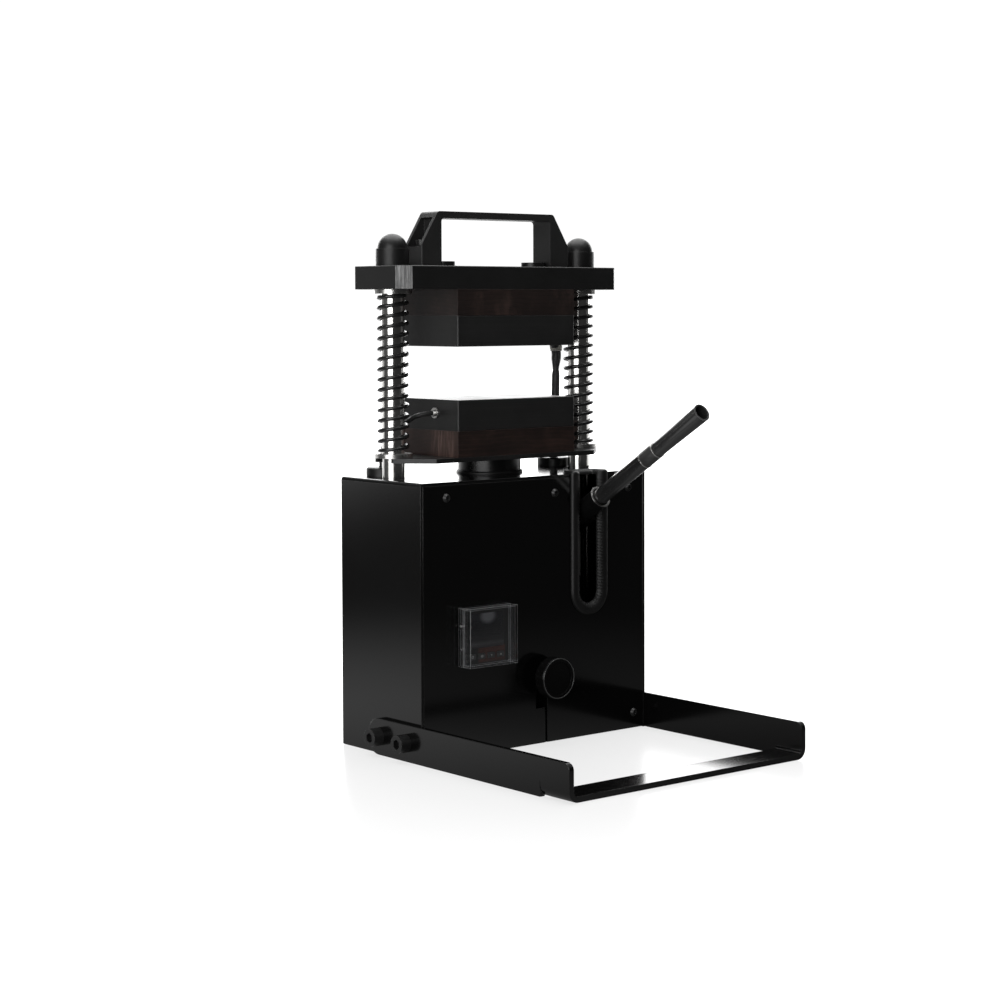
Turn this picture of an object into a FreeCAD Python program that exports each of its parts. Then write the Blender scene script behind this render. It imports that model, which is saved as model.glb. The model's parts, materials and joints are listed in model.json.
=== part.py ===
import FreeCAD, Part
import Sketcher
import math
import os
import re

# Benchtop heated-platen press with a hand-pumped bottle jack.
# Millimetres, +Z up. X runs along the front, Y from front to back.
# Origin: on the bench, midway between the two guide rods.

Vector = FreeCAD.Vector
Rotation = FreeCAD.Rotation
Placement = FreeCAD.Placement
doc = FreeCAD.newDocument("HeatedPlatenPress")

# ---------------------------------------------------------------- dimensions
# Suffixes: _r radius, _x _y _z places. Front and back reaches are measured from Y = 0.
DIMS = {
    # housing of bent sheet, and its panels
    "house_width": 256.9, "house_front": 66.6, "house_back": 47.9, "house_top": 236.5,
    "sheet": 2.0, "seam": 0.6, "house_bend": 3.0,
    # base block and its clearance inside the housing
    "base_top": 27.0, "base_side_fit": 0.15, "base_end_fit": 0.2,
    # guide rods and crosshead
    "rod_x": 106.85, "rod_r": 10.0, "rod_thread": 30.0,
    "bolt_r": 6.0, "bolt_head_r": 9.0, "bolt_head_height": 12.0, "bolt_seat_z": 14.0,
    "beam_z": 400.0, "beam_length": 251.1, "beam_width": 79.4, "beam_thick": 20.0,
    "beam_chamfer": 10.5,
    # platens
    "plate_length": 133.2, "plate_width": 79.4, "plate_thick": 27.0, "wood_thick": 22.8,
    "carrier_z": 250.2, "carrier_thick": 4.0, "carrier_end": 10.0, "carrier_chamfer": 26.5,
    "plate_bolt_x": 51.5, "lower_bolt_hole_r": 4.5, "heater_r": 4.75, "heater_depth": 110.0,
    "upper_heater_y": 18.0, "lower_heater_front": 7.4,
    # springs and their washers
    "washer_r": 16.5, "washer_thick": 3.8, "coil_r": 12.3, "wire": 3.4, "coils": 15.6667,
    # end caps
    "cap_r": 14.5, "cap_height": 14.9, "dome_r": 13.0,
    # carry handle
    "grip_out": 84.0, "grip_in": 62.3, "grip_top": 48.0, "grip_bar": 6.0, "grip_depth": 24.0,
    "grip_side": 18.5, "grip_corner": 66.0, "grip_screw_x": 75.5, "grip_seat_drop": 1.5,
    # lever slot and its trim
    "slot_x": 60.0, "slot_in": 10.5, "slot_out": 21.4, "slot_z": 130.7, "slot_back": 60.0,
    "slot_wall": 4.0, "trim_front": 3.5, "trim_top": 2.6, "trim_fit": 0.05,
    # pump and lever
    "pump_y": 38.0, "plunger_r": 8.0, "tongue_z": 165.5, "plunger_pin_rise": 11.21,
    "pivot_y": 20.0, "pivot_z": 177.04, "foot_pin_z": 84.0, "pin_r": 3.0,
    "link_thick": 4.0, "link_r": 7.0, "ear_half": 9.4, "ear_thick": 4.0,
    "lever_deg": 31.9, "lever_r": 7.3, "lever_length": 223.9,
    "socket_r": 9.5, "socket_length": 73.4, "socket_lip": 1.2,
    # jack
    "jack_left": 45.0, "jack_right": 80.0, "jack_front": 55.0, "jack_rear": 45.0,
    "jack_corner": 8.0, "jack_deck": 76.0, "jack_r": 38.0, "reservoir_top": 178.0,
    "ram_r": 18.0, "ram_bottom": 96.0, "neck_r": 24.5,
    "head_r": 28.0, "head_bottom": 189.0, "head_crown": 12.0,
    # valve
    "valve_x": 7.5, "valve_z": 60.0, "knob_r": 18.0, "knob_thick": 12.0, "knob_reach": 20.0,
    "knob_web": 3.0,
    # controller and its cover
    "control_x": -62.2, "control_z": 103.25, "case_half": 22.4, "bezel_half": 24.0,
    "cover_width": 52.0, "cover_height": 50.5, "cover_reach": 16.0, "cover_back": 6.0,
    "cover_wall": 1.5,
    # stand
    "tray_width": 266.6, "tray_thick": 4.8, "tray_height": 31.4, "tray_front": 261.3,
    "tray_bar": 29.5, "tray_lap": 5.4, "tray_bolt_rear": 12.0, "tray_bolt_front": 50.7,
    # cable glands
    "gland_x": 98.5, "gland_y": 26.0, "gland_r": 15.2, "gland_thick": 7.8,
}
spreadsheet = doc.addObject("Spreadsheet::Sheet", "Dims")
for row, (alias, value) in enumerate(DIMS.items(), start=1):
    spreadsheet.set("A%d" % row, alias)
    spreadsheet.set("B%d" % row, str(value))
    spreadsheet.setAlias("B%d" % row, alias)
doc.recompute()

SIDES = ("-", "")  # sign prefixes of an X expression: left, then right

# Panel screws as (x, z).
FOOT_SCREWS = [(114.5, 14.7), (-114.5, 14.7)]
FRONT_SCREWS = [(-100.7, 223), (20.4, 220.6), (107.8, 221)]
REAR_SCREWS = [(-60, 222), (60, 222)]
PANEL_HOLE_R = 2.3
PANEL_TAP_R = 2.05

# Places used by several sections, written over the aliases.
BEAM_TOP = "beam_z+beam_thick"
UPPER_PLATE_Z = "beam_z-wood_thick-plate_thick"
UPPER_HEATER_Z = UPPER_PLATE_Z + "+plate_thick/2"
THERMOCOUPLE_Z = UPPER_PLATE_Z + "+9"
LOWER_WOOD_Z = "carrier_z+carrier_thick"
LOWER_PLATE_Z = LOWER_WOOD_Z + "+wood_thick"
LOWER_HEATER_Z = LOWER_PLATE_Z + "+plate_thick/2+1.5"


# ---------------------------------------------------------------- expressions
def num(expr):
    """Value of a number, or of an expression over the aliases: + - * / and brackets."""
    if not isinstance(expr, str):
        return float(expr)
    tokens = re.findall(r"[A-Za-z_]+|\d+\.?\d*|[-+*/()]", expr)[::-1]

    def atom():
        token = tokens.pop()
        if token == "(":
            result = total()
            tokens.pop()
            return result
        if token == "-":
            return -atom()
        return DIMS[token] if token in DIMS else float(token)

    def product():
        result = atom()
        while tokens and tokens[-1] in "*/":
            if tokens.pop() == "*":
                result = result * atom()
            else:
                result = result / atom()
        return result

    def total():
        result = product()
        while tokens and tokens[-1] in "+-":
            if tokens.pop() == "+":
                result = result + product()
            else:
                result = result - product()
        return result

    return total()


def drive(obj, prop, expr):
    """Ties a property to the spreadsheet when the expression names an alias."""
    if isinstance(expr, str) and re.search("[A-Za-z]", expr):
        obj.setExpression(prop, re.sub(r"([A-Za-z_]+)", r"Dims.\1", expr))
        return True
    return False


def bind(obj, prop, expr):
    if not drive(obj, prop, expr):
        setattr(obj, prop, num(expr))


# ---------------------------------------------------------------- Part helpers
TURN = {  # turns a primitive's +Z towards the named axis
    "+Z": Rotation(),
    "-Z": Rotation(Vector(1, 0, 0), 180),
    "+X": Rotation(Vector(0, 1, 0), 90),
    "-X": Rotation(Vector(0, 1, 0), -90),
    "+Y": Rotation(Vector(1, 0, 0), -90),
    "-Y": Rotation(Vector(1, 0, 0), 90),
}


def opposite(to):
    return ("-" if to[0] == "+" else "+") + to[1]


def primitive(kind, x, y, z, to="+Z", **sizes):
    obj = doc.addObject("Part::" + kind, kind.lower())
    for prop, expr in sizes.items():
        bind(obj, prop, expr)
    obj.Placement = Placement(Vector(num(x), num(y), num(z)), TURN[to])
    for axis, expr in zip("xyz", (x, y, z)):
        drive(obj, "Placement.Base." + axis, expr)
    return obj


def box(x, y, z, dx, dy, dz):
    return primitive("Box", x, y, z, Length=dx, Width=dy, Height=dz)


def cyl(x, y, z, radius, length, to="+Z"):
    return primitive("Cylinder", x, y, z, to, Radius=radius, Height=length)


def cone(x, y, z, start_r, end_r, length, to="+Z"):
    return primitive("Cone", x, y, z, to, Radius1=start_r, Radius2=end_r, Height=length)


def hexagon(x, y, z, corner_r, length, to="+Z"):
    prism = primitive("Prism", x, y, z, to, Circumradius=corner_r, Height=length)
    prism.Polygon = 6
    return prism


def fuse(*objs):
    if len(objs) == 1:
        return objs[0]
    obj = doc.addObject("Part::MultiFuse", "fuse")
    obj.Shapes = list(objs)
    return obj


def cut(base, *tools):
    obj = doc.addObject("Part::Cut", "cut")
    obj.Base = base
    obj.Tool = fuse(*tools)
    return obj


def common(base, tool):
    obj = doc.addObject("Part::Common", "common")
    obj.Base = base
    obj.Tool = tool
    return obj


def group(*objs):
    obj = doc.addObject("Part::Compound", "group")
    obj.Links = list(objs)
    return obj


NODES = {}  # label -> object, one STEP file each


def node(label, obj):
    if label in NODES:
        raise RuntimeError("label used twice: " + label)
    obj.Label = label
    NODES[label] = obj
    return obj


def plain(label, shape):
    """A node whose shape comes from Part's own functions, held at an identity placement."""
    obj = doc.addObject("Part::Feature", "shape_" + label)
    obj.Shape = shape
    obj.Placement = Placement()
    return node(label, obj)


def sweep_round(points, radius):
    """Round bar along a smooth line through the points."""
    curve = Part.BSplineCurve()
    curve.interpolate(points)
    path = Part.Wire([curve.toShape()])
    tangent = curve.tangent(curve.FirstParameter)[0]
    ring = Part.Wire([Part.makeCircle(radius, points[0], tangent)])
    return path.makePipeShell([ring], True, True)


def cap_screw(x, y, z, to, head_r, head_height, shank_r, shank_length, across, socket_depth):
    """Socket-head screw: (x, y, z) is under the head, and it points along to."""
    head = cyl(x, y, z, head_r, head_height, opposite(to))
    shank = cyl(x, y, z, shank_r, shank_length, to)
    spot = [x, y, z]
    axis = "XYZ".index(to[1])
    spot[axis] = "(%s)%s(%s+0.01)" % (spot[axis], opposite(to)[0], head_height)
    socket = hexagon(*spot, num(across) / math.sqrt(3.0), socket_depth, to)
    return cut(fuse(head, shank), socket)


# ---------------------------------------------------------- PartDesign helpers
def body(label):
    return node(label, doc.addObject("PartDesign::Body", "body_" + label))


def new_sketch(part, plane, offset):
    """Sketch on XY, XZ or YZ. Offsets run along +Z, -Y and +X in turn."""
    sketch = part.newObject("Sketcher::SketchObject", "sketch")
    support = [f for f in part.Origin.OriginFeatures if f.Role == plane + "_Plane"][0]
    sketch.AttachmentSupport = [(support, "")]
    sketch.MapMode = "FlatFace"
    sketch.AttachmentOffset = Placement(Vector(0, 0, num(offset)), Rotation())
    drive(sketch, "AttachmentOffset.Base.z", offset)
    sketch.Visibility = False
    return sketch


def lock(sketch, kind, args, expr):
    index = sketch.addConstraint(Sketcher.Constraint(kind, *args, num(expr)))
    drive(sketch, "Constraints[%d]" % index, expr)


def draw_outline(sketch, points):
    """Closed polygon, every corner dimensioned from the sketch origin."""
    first = sketch.GeometryCount
    corners = [Vector(num(x), num(y), 0) for x, y in points]
    count = len(corners)
    for i in range(count):
        sketch.addGeometry(Part.LineSegment(corners[i], corners[(i + 1) % count]))
    for i in range(count):
        following = first + (i + 1) % count
        sketch.addConstraint(Sketcher.Constraint("Coincident", first + i, 2, following, 1))
    for i, (x, y) in enumerate(points):
        lock(sketch, "DistanceX", (-1, 1, first + i, 1), x)
        lock(sketch, "DistanceY", (-1, 1, first + i, 1), y)


def draw_circle(sketch, x, y, radius):
    ring = sketch.addGeometry(
        Part.Circle(Vector(num(x), num(y), 0), Vector(0, 0, 1), num(radius)))
    lock(sketch, "DistanceX", (-1, 1, ring, 3), x)
    lock(sketch, "DistanceY", (-1, 1, ring, 3), y)
    lock(sketch, "Radius", (ring,), radius)


def mirrored(right_half):
    """Closes an outline with its mirror image in X. Each x must bear a leading minus."""
    return right_half + [("-" + x, y) for x, y in reversed(right_half)]


def pair(x, y, radius):
    """The same circle left and right."""
    return [(side + x, y, radius) for side in SIDES]


def extrude(kind, part, plane, offset, length, circles=(), rects=(), outline=(),
            back=False, both=False):
    """Sketched pad or pocket.

    circles: (x, y, radius). rects: (x, x, y, y). outline: corners (x, y).
    """
    sketch = new_sketch(part, plane, offset)
    for circle in circles:
        draw_circle(sketch, *circle)
    for xa, xb, ya, yb in rects:
        draw_outline(sketch, [(xa, ya), (xb, ya), (xb, yb), (xa, yb)])
    if outline:
        draw_outline(sketch, outline)
    feature = part.newObject("PartDesign::" + kind, kind.lower())
    feature.Profile = sketch
    bind(feature, "Length", length)
    feature.Reversed = back
    feature.Midplane = both
    return feature


def pad(part, plane, offset, length, **shapes):
    return extrude("Pad", part, plane, offset, length, **shapes)


def pocket(part, plane, offset, length, **shapes):
    """Cuts, and stops the run when the cut removes nothing."""
    doc.recompute()
    before = part.Shape.Volume
    feature = extrude("Pocket", part, plane, offset, length, **shapes)
    doc.recompute()
    if not feature.Shape.Volume < before - 1e-3:
        raise RuntimeError("pocket in %s removes nothing" % part.Label)
    return feature


def near(value, target):
    """Compares a measured value with a number or an expression."""
    return abs(value - num(target)) < 0.02


def along(bounds, axis):
    """True when the edge is a straight run parallel to the axis."""
    size = {"x": bounds.XLength, "y": bounds.YLength, "z": bounds.ZLength}
    return size[axis] > 0.5 and all(v < 0.01 for k, v in size.items() if k != axis)


def dress(part, kind, size, test):
    """Fillet or chamfer on the edges whose bounding box passes the test."""
    doc.recompute()
    base = part.Tip
    names = ["Edge%d" % i for i, edge in enumerate(base.Shape.Edges, start=1)
             if test(edge.BoundBox)]
    if not names:
        raise RuntimeError("no edges to dress on " + part.Label)
    feature = part.newObject("PartDesign::" + kind, kind.lower())
    feature.Base = (base, names)
    bind(feature, "Radius" if kind == "Fillet" else "Size", size)
    doc.recompute()


# =============================================================== base and rods
# Thick steel base; its top carries the rods and the jack.
base_half = "(house_width/2-sheet-base_side_fit)"
base_front = "(house_front-sheet-base_end_fit)"
base_back = "(house_back-sheet-base_end_fit)"
base = body("base_block")
pad(base, "XY", "0", "base_top", rects=[("-" + base_half, base_half, "-" + base_front, base_back)])
pocket(base, "XY", "base_top", "base_top", circles=pair("rod_x", "0", "bolt_r+0.5"))
pocket(base, "XY", "bolt_seat_z", "bolt_seat_z", circles=pair("rod_x", "0", "bolt_head_r+0.5"))
for side in ("", "-"):
    pocket(base, "YZ", side + base_half, 13, back=(side == "-"),
           circles=[("-tray_bolt_rear", "tray_height/2", 5.05),
                    ("-tray_bolt_front", "tray_height/2", 5.05)])
foot_taps = [(x, z, PANEL_TAP_R) for x, z in FOOT_SCREWS]
pocket(base, "XZ", base_front, 9, circles=foot_taps)
pocket(base, "XZ", "-" + base_back, 9, circles=foot_taps, back=True)
dress(base, "Chamfer", 1, lambda edge: along(edge, "x") and near(edge.ZMin, 0))


# Two polished rods, bored at both ends for the M12 bolts.
def guide_rod(x):
    return cut(cyl(x, 0, "base_top", "rod_r", "beam_z-base_top"),
               cyl(x, 0, "base_top", "bolt_r+0.05", "rod_thread"),
               cyl(x, 0, "beam_z-rod_thread", "bolt_r+0.05", "rod_thread"))


node("guide_rods", group(*[guide_rod(side + "rod_x") for side in SIDES]))

ROD_BOLT = dict(head_r="bolt_head_r", head_height="bolt_head_height", shank_r="bolt_r",
                across=10, socket_depth=6)
node("rod_bolts", group(*[
    cap_screw(side + "rod_x", 0, z, to, shank_length=length, **ROD_BOLT)
    for z, to, length in ((BEAM_TOP, "-Z", 46), ("bolt_seat_z", "+Z", 40))
    for side in SIDES]))


# Domed caps over the top bolts. The skirt is a little wider than the dome.
def end_cap(x):
    skirt = cyl(x, 0, BEAM_TOP, "cap_r", "cap_height")
    dome = primitive("Sphere", x, 0, BEAM_TOP + "+cap_height", Radius="dome_r")
    dome.Angle1 = 0
    hollow = cyl(x, 0, BEAM_TOP + "-1", 11, 14.5)
    return cut(fuse(skirt, dome), hollow)


node("rod_end_caps", group(*[end_cap(side + "rod_x") for side in SIDES]))

# ================================================================== crosshead
beam = body("crosshead")
pad(beam, "XY", "beam_z", "beam_thick",
    rects=[("-beam_length/2", "beam_length/2", "-beam_width/2", "beam_width/2")])
dress(beam, "Chamfer", "beam_chamfer", lambda edge: along(edge, "z"))
pocket(beam, "XY", BEAM_TOP, "beam_thick",
       circles=pair("rod_x", "0", "bolt_r+0.5") + pair("plate_bolt_x", "0", 5.5)
       + pair("grip_screw_x", "0", 3.05))
# The outer top edges; the size test leaves the holes out.
dress(beam, "Chamfer", 0.6,
      lambda edge: (near(edge.ZMin, BEAM_TOP) and near(edge.ZMax, BEAM_TOP)
                    and (edge.XLength > 15 or edge.YLength > 15)))

# ================================================================ carry handle
# Bridge grip: two legs that lean in above a short upright part, and a thin bar.
grip_under = BEAM_TOP + "+grip_top-grip_bar"
grip_seat = BEAM_TOP + "+grip_side-grip_seat_drop"
handle = body("carry_handle")
pad(handle, "XZ", "grip_depth/2", "grip_depth", back=True, outline=mirrored([
    ("grip_in", grip_under), ("grip_in", BEAM_TOP), ("grip_out", BEAM_TOP),
    ("grip_out", BEAM_TOP + "+grip_side"), ("grip_corner", BEAM_TOP + "+grip_top")]))
for radius, corner_x in ((3, "grip_in"), (4, "grip_corner")):
    dress(handle, "Fillet", radius,
          lambda edge: along(edge, "y") and near(abs(edge.XMin), corner_x) and edge.ZMin > 450)
# Wells for the screws, open on the leaning faces.
for side in ("", "-"):
    well_in = side + "(grip_in+3.4)"
    well_out = side + "(grip_out+6)"
    pocket(handle, "XZ", "0", "grip_depth-7", both=True, outline=[
        (well_in, grip_seat), (well_out, grip_seat),
        (well_out, BEAM_TOP + "+grip_top+4"), (well_in, grip_under + "-1")])
pocket(handle, "XY", BEAM_TOP + "+grip_side", "grip_side+2",
       circles=pair("grip_screw_x", "0", 3.4))
dress(handle, "Fillet", 1,
      lambda edge: along(edge, "z") and near(abs(edge.YMin), "grip_depth/2")
      and abs(edge.XMin) > 80)

node("handle_screws", group(*[
    cap_screw(side + "grip_screw_x", 0, grip_seat, "-Z", head_r=5, head_height=6,
              shank_r=3, shank_length=33, across=5, socket_depth=3.5)
    for side in SIDES]))


# ==================================================================== platens
PLATE_RECT = ("-plate_length/2", "plate_length/2", "-plate_width/2", "plate_width/2")


def insulator(label, bottom, top, hole_r):
    part = body(label)
    pad(part, "XY", bottom, "wood_thick", rects=[PLATE_RECT])
    pocket(part, "XY", top, "wood_thick", circles=pair("plate_bolt_x", "0", hole_r))


def plate_blank(label, bottom):
    part = body(label)
    pad(part, "XY", bottom, "plate_thick", rects=[PLATE_RECT])
    return part


def bevel_plate(part):
    """Breaks the long X edges and the upright corners."""
    dress(part, "Chamfer", 0.6,
          lambda edge: (along(edge, "x") and edge.XLength > 100)
          or (along(edge, "z") and edge.ZLength > 20))


# Upper platen: heaters and thermocouple enter from the right end.
insulator("upper_insulator", "beam_z-wood_thick", "beam_z", 5.5)

upper_plate = plate_blank("upper_plate", UPPER_PLATE_Z)
pocket(upper_plate, "XY", "beam_z-wood_thick", 11, circles=pair("plate_bolt_x", "0", 5.05))
pocket(upper_plate, "YZ", "plate_length/2", "heater_depth+2",
       circles=[(y, UPPER_HEATER_Z, "heater_r+0.1") for y in ("upper_heater_y", "-upper_heater_y")])
pocket(upper_plate, "YZ", "plate_length/2", 60, circles=[("0", THERMOCOUPLE_Z, 2.6)])
bevel_plate(upper_plate)

node("upper_platen_bolts", group(*[
    cap_screw(side + "plate_bolt_x", 0, BEAM_TOP, "-Z", head_r=10.8, head_height=4.6,
              shank_r=5, shank_length=52, across=6, socket_depth=3)
    for side in SIDES]))
node("upper_heaters", group(*[
    cyl("plate_length/2-heater_depth", sign + "upper_heater_y", UPPER_HEATER_Z,
        "heater_r", "heater_depth+4", "+X")
    for sign in ("-", "")]))
node("thermocouple", fuse(
    cyl("plate_length/2-58", 0, THERMOCOUPLE_Z, 2.5, 60, "+X"),
    cyl("plate_length/2+2", 0, THERMOCOUPLE_Z, 3.6, 7, "+X")))

plate_end = num("plate_length/2")
gland_x = num("gland_x")
gland_y = num("gland_y")


def upper_heater_cable():
    """Cable from the rear heater down through the right gland, and its front branch."""
    end, z = plate_end, num(UPPER_HEATER_Z)
    main = [
        (end + 5.2, 18, z), (end + 8.0, 18, z), (end + 16, 19.4, z - 1.2),
        (gland_x - 3, 23, z - 8), (gland_x + 3.4, gland_y, z - 20),
        (gland_x + 3.0, gland_y, 327), (gland_x + 2.3, gland_y, 295),
        (gland_x + 1.4, gland_y, 262), (gland_x, gland_y, 244), (gland_x, gland_y, 226)]
    branch = [
        (end + 5.2, -18, z), (end + 8.0, -18, z), (end + 12.0, -12, z - 1),
        (end + 15.5, 0, z - 2.5), (end + 19.5, 10, z - 4), (end + 21.9, 14.0, z - 5.5)]
    return Part.makeCompound([
        sweep_round([Vector(*point) for point in main], 3.7),
        sweep_round([Vector(*point) for point in branch], 2.2)])


plain("upper_heater_cable", upper_heater_cable())

# Moving carrier: flat plate as wide as the platen, with its corners cut off.
# Each end is open to a slot that runs on the rod, and the washer lies across the
# slot. The rear corners are cut back to clear the cables.
carrier_half = "(rod_x+carrier_end)"
corner_y = "(plate_width/2-carrier_chamfer)"
notch_x = "(gland_x-6)"
notch_y = "(gland_y-5.1)"
slot_half = "(rod_r+0.05)"
carrier = body("carrier_plate")
pad(carrier, "XY", "carrier_z", "carrier_thick", outline=mirrored([
    ("(rod_x+carrier_end-carrier_chamfer)", "-plate_width/2"),
    (carrier_half, "-" + corner_y), (carrier_half, corner_y),
    ("(gland_x+11)", notch_y), (notch_x, notch_y), (notch_x, "plate_width/2")]))
pocket(carrier, "XY", LOWER_WOOD_Z, "carrier_thick", circles=pair("rod_x", "0", slot_half))
pocket(carrier, "XY", LOWER_WOOD_Z, "carrier_thick", rects=[
    ("rod_x", "rod_x+carrier_end+2", "-" + slot_half, slot_half),
    ("-(rod_x+carrier_end+2)", "-rod_x", "-" + slot_half, slot_half)])
pocket(carrier, "XY", LOWER_WOOD_Z, "carrier_thick",
       circles=pair("plate_bolt_x", "0", "lower_bolt_hole_r"))
# Countersinks under the bolt holes.
dress(carrier, "Chamfer", 3.85,
      lambda edge: near(edge.ZMin, "carrier_z") and near(edge.ZMax, "carrier_z")
      and near(edge.XLength, "2*lower_bolt_hole_r")
      and near(edge.YLength, "2*lower_bolt_hole_r"))

insulator("lower_insulator", LOWER_WOOD_Z, LOWER_PLATE_Z, "lower_bolt_hole_r")

# Lower platen: one heater, from the left end.
lower_plate = plate_blank("lower_plate", LOWER_PLATE_Z)
pocket(lower_plate, "XY", LOWER_PLATE_Z, 8, back=True, circles=pair("plate_bolt_x", "0", 4.05))
pocket(lower_plate, "YZ", "-plate_length/2", "heater_depth+2", back=True,
       circles=[("-lower_heater_front", LOWER_HEATER_Z, "heater_r+0.1")])
bevel_plate(lower_plate)


def flat_screw(x, z, head_r, shank_r, shank_length, across, socket_depth):
    """Countersunk socket screw on Y = 0, pointing up from its flat face at z."""
    head = cone(x, 0, z, head_r, shank_r, head_r - shank_r)
    shank = cyl(x, 0, z, shank_r, shank_length)
    return cut(fuse(head, shank),
               hexagon(x, 0, z + "-0.01", across / math.sqrt(3.0), socket_depth))


node("lower_platen_bolts", group(*[
    flat_screw(side + "plate_bolt_x", "carrier_z", head_r=8, shank_r=4, shank_length=34.4,
               across=5, socket_depth=2.8)
    for side in SIDES]))
node("lower_heater", cyl("-plate_length/2+heater_depth", "-lower_heater_front",
                         LOWER_HEATER_Z, "heater_r", "heater_depth+1.2", "-X"))


def lower_heater_cable():
    """Cable from the lower heater back and down to the left gland."""
    end, z = -plate_end, num(LOWER_HEATER_Z)
    points = [
        (end - 2.2, -7.4, z), (end - 6.5, -7.3, z - 0.1), (end - 12.0, -5.0, z - 1.0),
        (end - 16.0, 1.0, z - 3.2), (end - 18.0, 8.0, z - 7.0), (end - 20.0, 14.5, z - 12.0),
        (end - 23.5, 20.0, z - 18.5), (-gland_x + 4.0, 24.5, z - 25.5),
        (-gland_x + 1.2, gland_y, 259), (-gland_x, gland_y, 251), (-gland_x, gland_y, 245)]
    return sweep_round([Vector(*point) for point in points], 3.2)


plain("lower_heater_cable", lower_heater_cable())

# =========================================================== springs and washers
for label, z in (("upper_spring_washers", "beam_z-washer_thick"),
                 ("lower_spring_washers", LOWER_WOOD_Z)):
    node(label, group(*[
        cut(cyl(side + "rod_x", 0, z, "washer_r", "washer_thick"),
            cyl(side + "rod_x", 0, z, "rod_r+0.2", "washer_thick"))
        for side in SIDES]))


def spring(x, first_angle):
    """Right-handed compression spring. Its ends lie flat for about half a turn;
    first_angle is the angle of its lower end in degrees."""
    radius, wire, turns = num("coil_r"), num("wire"), num("coils")
    bottom = num(LOWER_WOOD_Z + "+washer_thick") + wire / 2 + 0.05
    top = num("beam_z-washer_thick") - wire / 2 - 0.05
    steps_per_turn = 12
    flat, ease = 0.4, 0.15  # turns: flat end, and half the blend into the open coils
    shut_pitch = wire + 0.1
    open_pitch = (top - bottom - 2 * flat * shut_pitch) / (turns - 2 * flat)

    def rise(turn):
        # the pitch grows smoothly from the flat end to the open coils
        if turn <= flat - ease:
            return shut_pitch * turn
        if turn >= flat + ease:
            return shut_pitch * flat + open_pitch * (turn - flat)
        blend = (turn - (flat - ease)) / (2 * ease)
        return shut_pitch * turn + (open_pitch - shut_pitch) * ease * blend * blend

    points = []
    count = int(round(turns * steps_per_turn))
    for i in range(count + 1):
        turn = turns * i / float(count)
        z = bottom + rise(turn) if turn <= turns / 2.0 else top - rise(turns - turn)
        angle = math.radians(first_angle) + 2 * math.pi * turn
        points.append(Vector(x + radius * math.cos(angle), radius * math.sin(angle), z))
    return sweep_round(points, wire / 2)


plain("left_spring", spring(-num("rod_x"), 52.0))
plain("right_spring", spring(num("rod_x"), 181.0))

# ======================================================================== jack
# Base slab with rounded upright corners: the outer box, kept only where two
# crossed boxes and four corner posts cover it.
slab_height = "jack_deck-base_top"
slab = common(
    box("-jack_left", "-jack_front", "base_top",
        "jack_left+jack_right", "jack_front+jack_rear", slab_height),
    fuse(box("-jack_left", "-jack_front+jack_corner", "base_top",
             "jack_left+jack_right", "jack_front+jack_rear-2*jack_corner", slab_height),
         box("-jack_left+jack_corner", "-jack_front", "base_top",
             "jack_left+jack_right-2*jack_corner", "jack_front+jack_rear", slab_height),
         *[cyl(x, y, "base_top", "jack_corner", slab_height)
           for x in ("-jack_left+jack_corner", "jack_right-jack_corner")
           for y in ("-jack_front+jack_corner", "jack_rear-jack_corner")]))
lug = box("slot_x-ear_half", -24.4, "jack_deck", "2*ear_half", 11.4, 14)
lug_hole = cyl("slot_x-12", "-pivot_y", "foot_pin_z", "pin_r+0.05", 24, "+X")
valve_bore = cyl("valve_x", "-jack_front-1", "valve_z", 5.05, 27, "+Y")
pump_seat = cyl("slot_x", "-pump_y", "jack_deck-4", 6, 5)
node("jack_base", cut(fuse(slab, lug), lug_hole, valve_bore, pump_seat))

node("jack_cylinder", cut(cyl(0, 0, "jack_deck", "neck_r", 148),
                          cyl(0, 0, "jack_deck+6", "ram_r+0.05", 150)))
node("jack_reservoir", cut(cyl(0, 0, "jack_deck", "jack_r", "reservoir_top-jack_deck"),
                           cyl(0, 0, "jack_deck-1", "jack_r-3", "reservoir_top-jack_deck+2")))
node("reservoir_cap", cut(fuse(cyl(0, 0, "reservoir_top", "jack_r+2", 9),
                               cyl(0, 0, "reservoir_top-6", "jack_r-3.1", 7)),
                          cyl(0, 0, "reservoir_top-7", "neck_r+0.05", 17)))

# The ram, and the head that carries the moving platen. The head's skirt
# covers the jack's neck, so the hole in the top cover stays filled.
node("ram", fuse(cyl(0, 0, "ram_bottom", "ram_r", "carrier_z-head_crown-ram_bottom"),
                 cone(0, 0, "ram_bottom-4", "ram_r-4", "ram_r", 4)))
node("ram_head", cut(
    fuse(cyl(0, 0, "head_bottom", "head_r", "carrier_z-head_bottom-1"),
         cone(0, 0, "carrier_z-1", "head_r", "head_r-1", 1)),
    cyl(0, 0, "head_bottom-1", "neck_r+0.75", "carrier_z-head_crown-(head_bottom-1)")))

# ======================================================================== pump
node("pump_body", cut(
    fuse(cyl("slot_x", "-pump_y", "jack_deck", 13, 57), cyl("slot_x", "-pump_y", 133, 12, 8),
         cyl("slot_x", "-pump_y", "jack_deck-4", 5.9, 5)),
    cyl("slot_x", "-pump_y", 80, "plunger_r+0.05", 66)))

# Plunger with a flat tongue at its top and a cross pin through it.
plunger_pin_z = "pivot_z+plunger_pin_rise"
tongue = fuse(
    box("slot_x-4.9", "-pump_y-plunger_r", "tongue_z", 9.8, "2*plunger_r",
        plunger_pin_z + "-tongue_z"),
    cyl("slot_x-4.9", "-pump_y", plunger_pin_z, "plunger_r", 9.8, "+X"))
node("pump_plunger", fuse(
    cyl("slot_x", "-pump_y", 104, "plunger_r", 61.5),
    tongue,
    cyl("slot_x-9.3", "-pump_y", plunger_pin_z, "pin_r", 18.6, "+X")))


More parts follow.
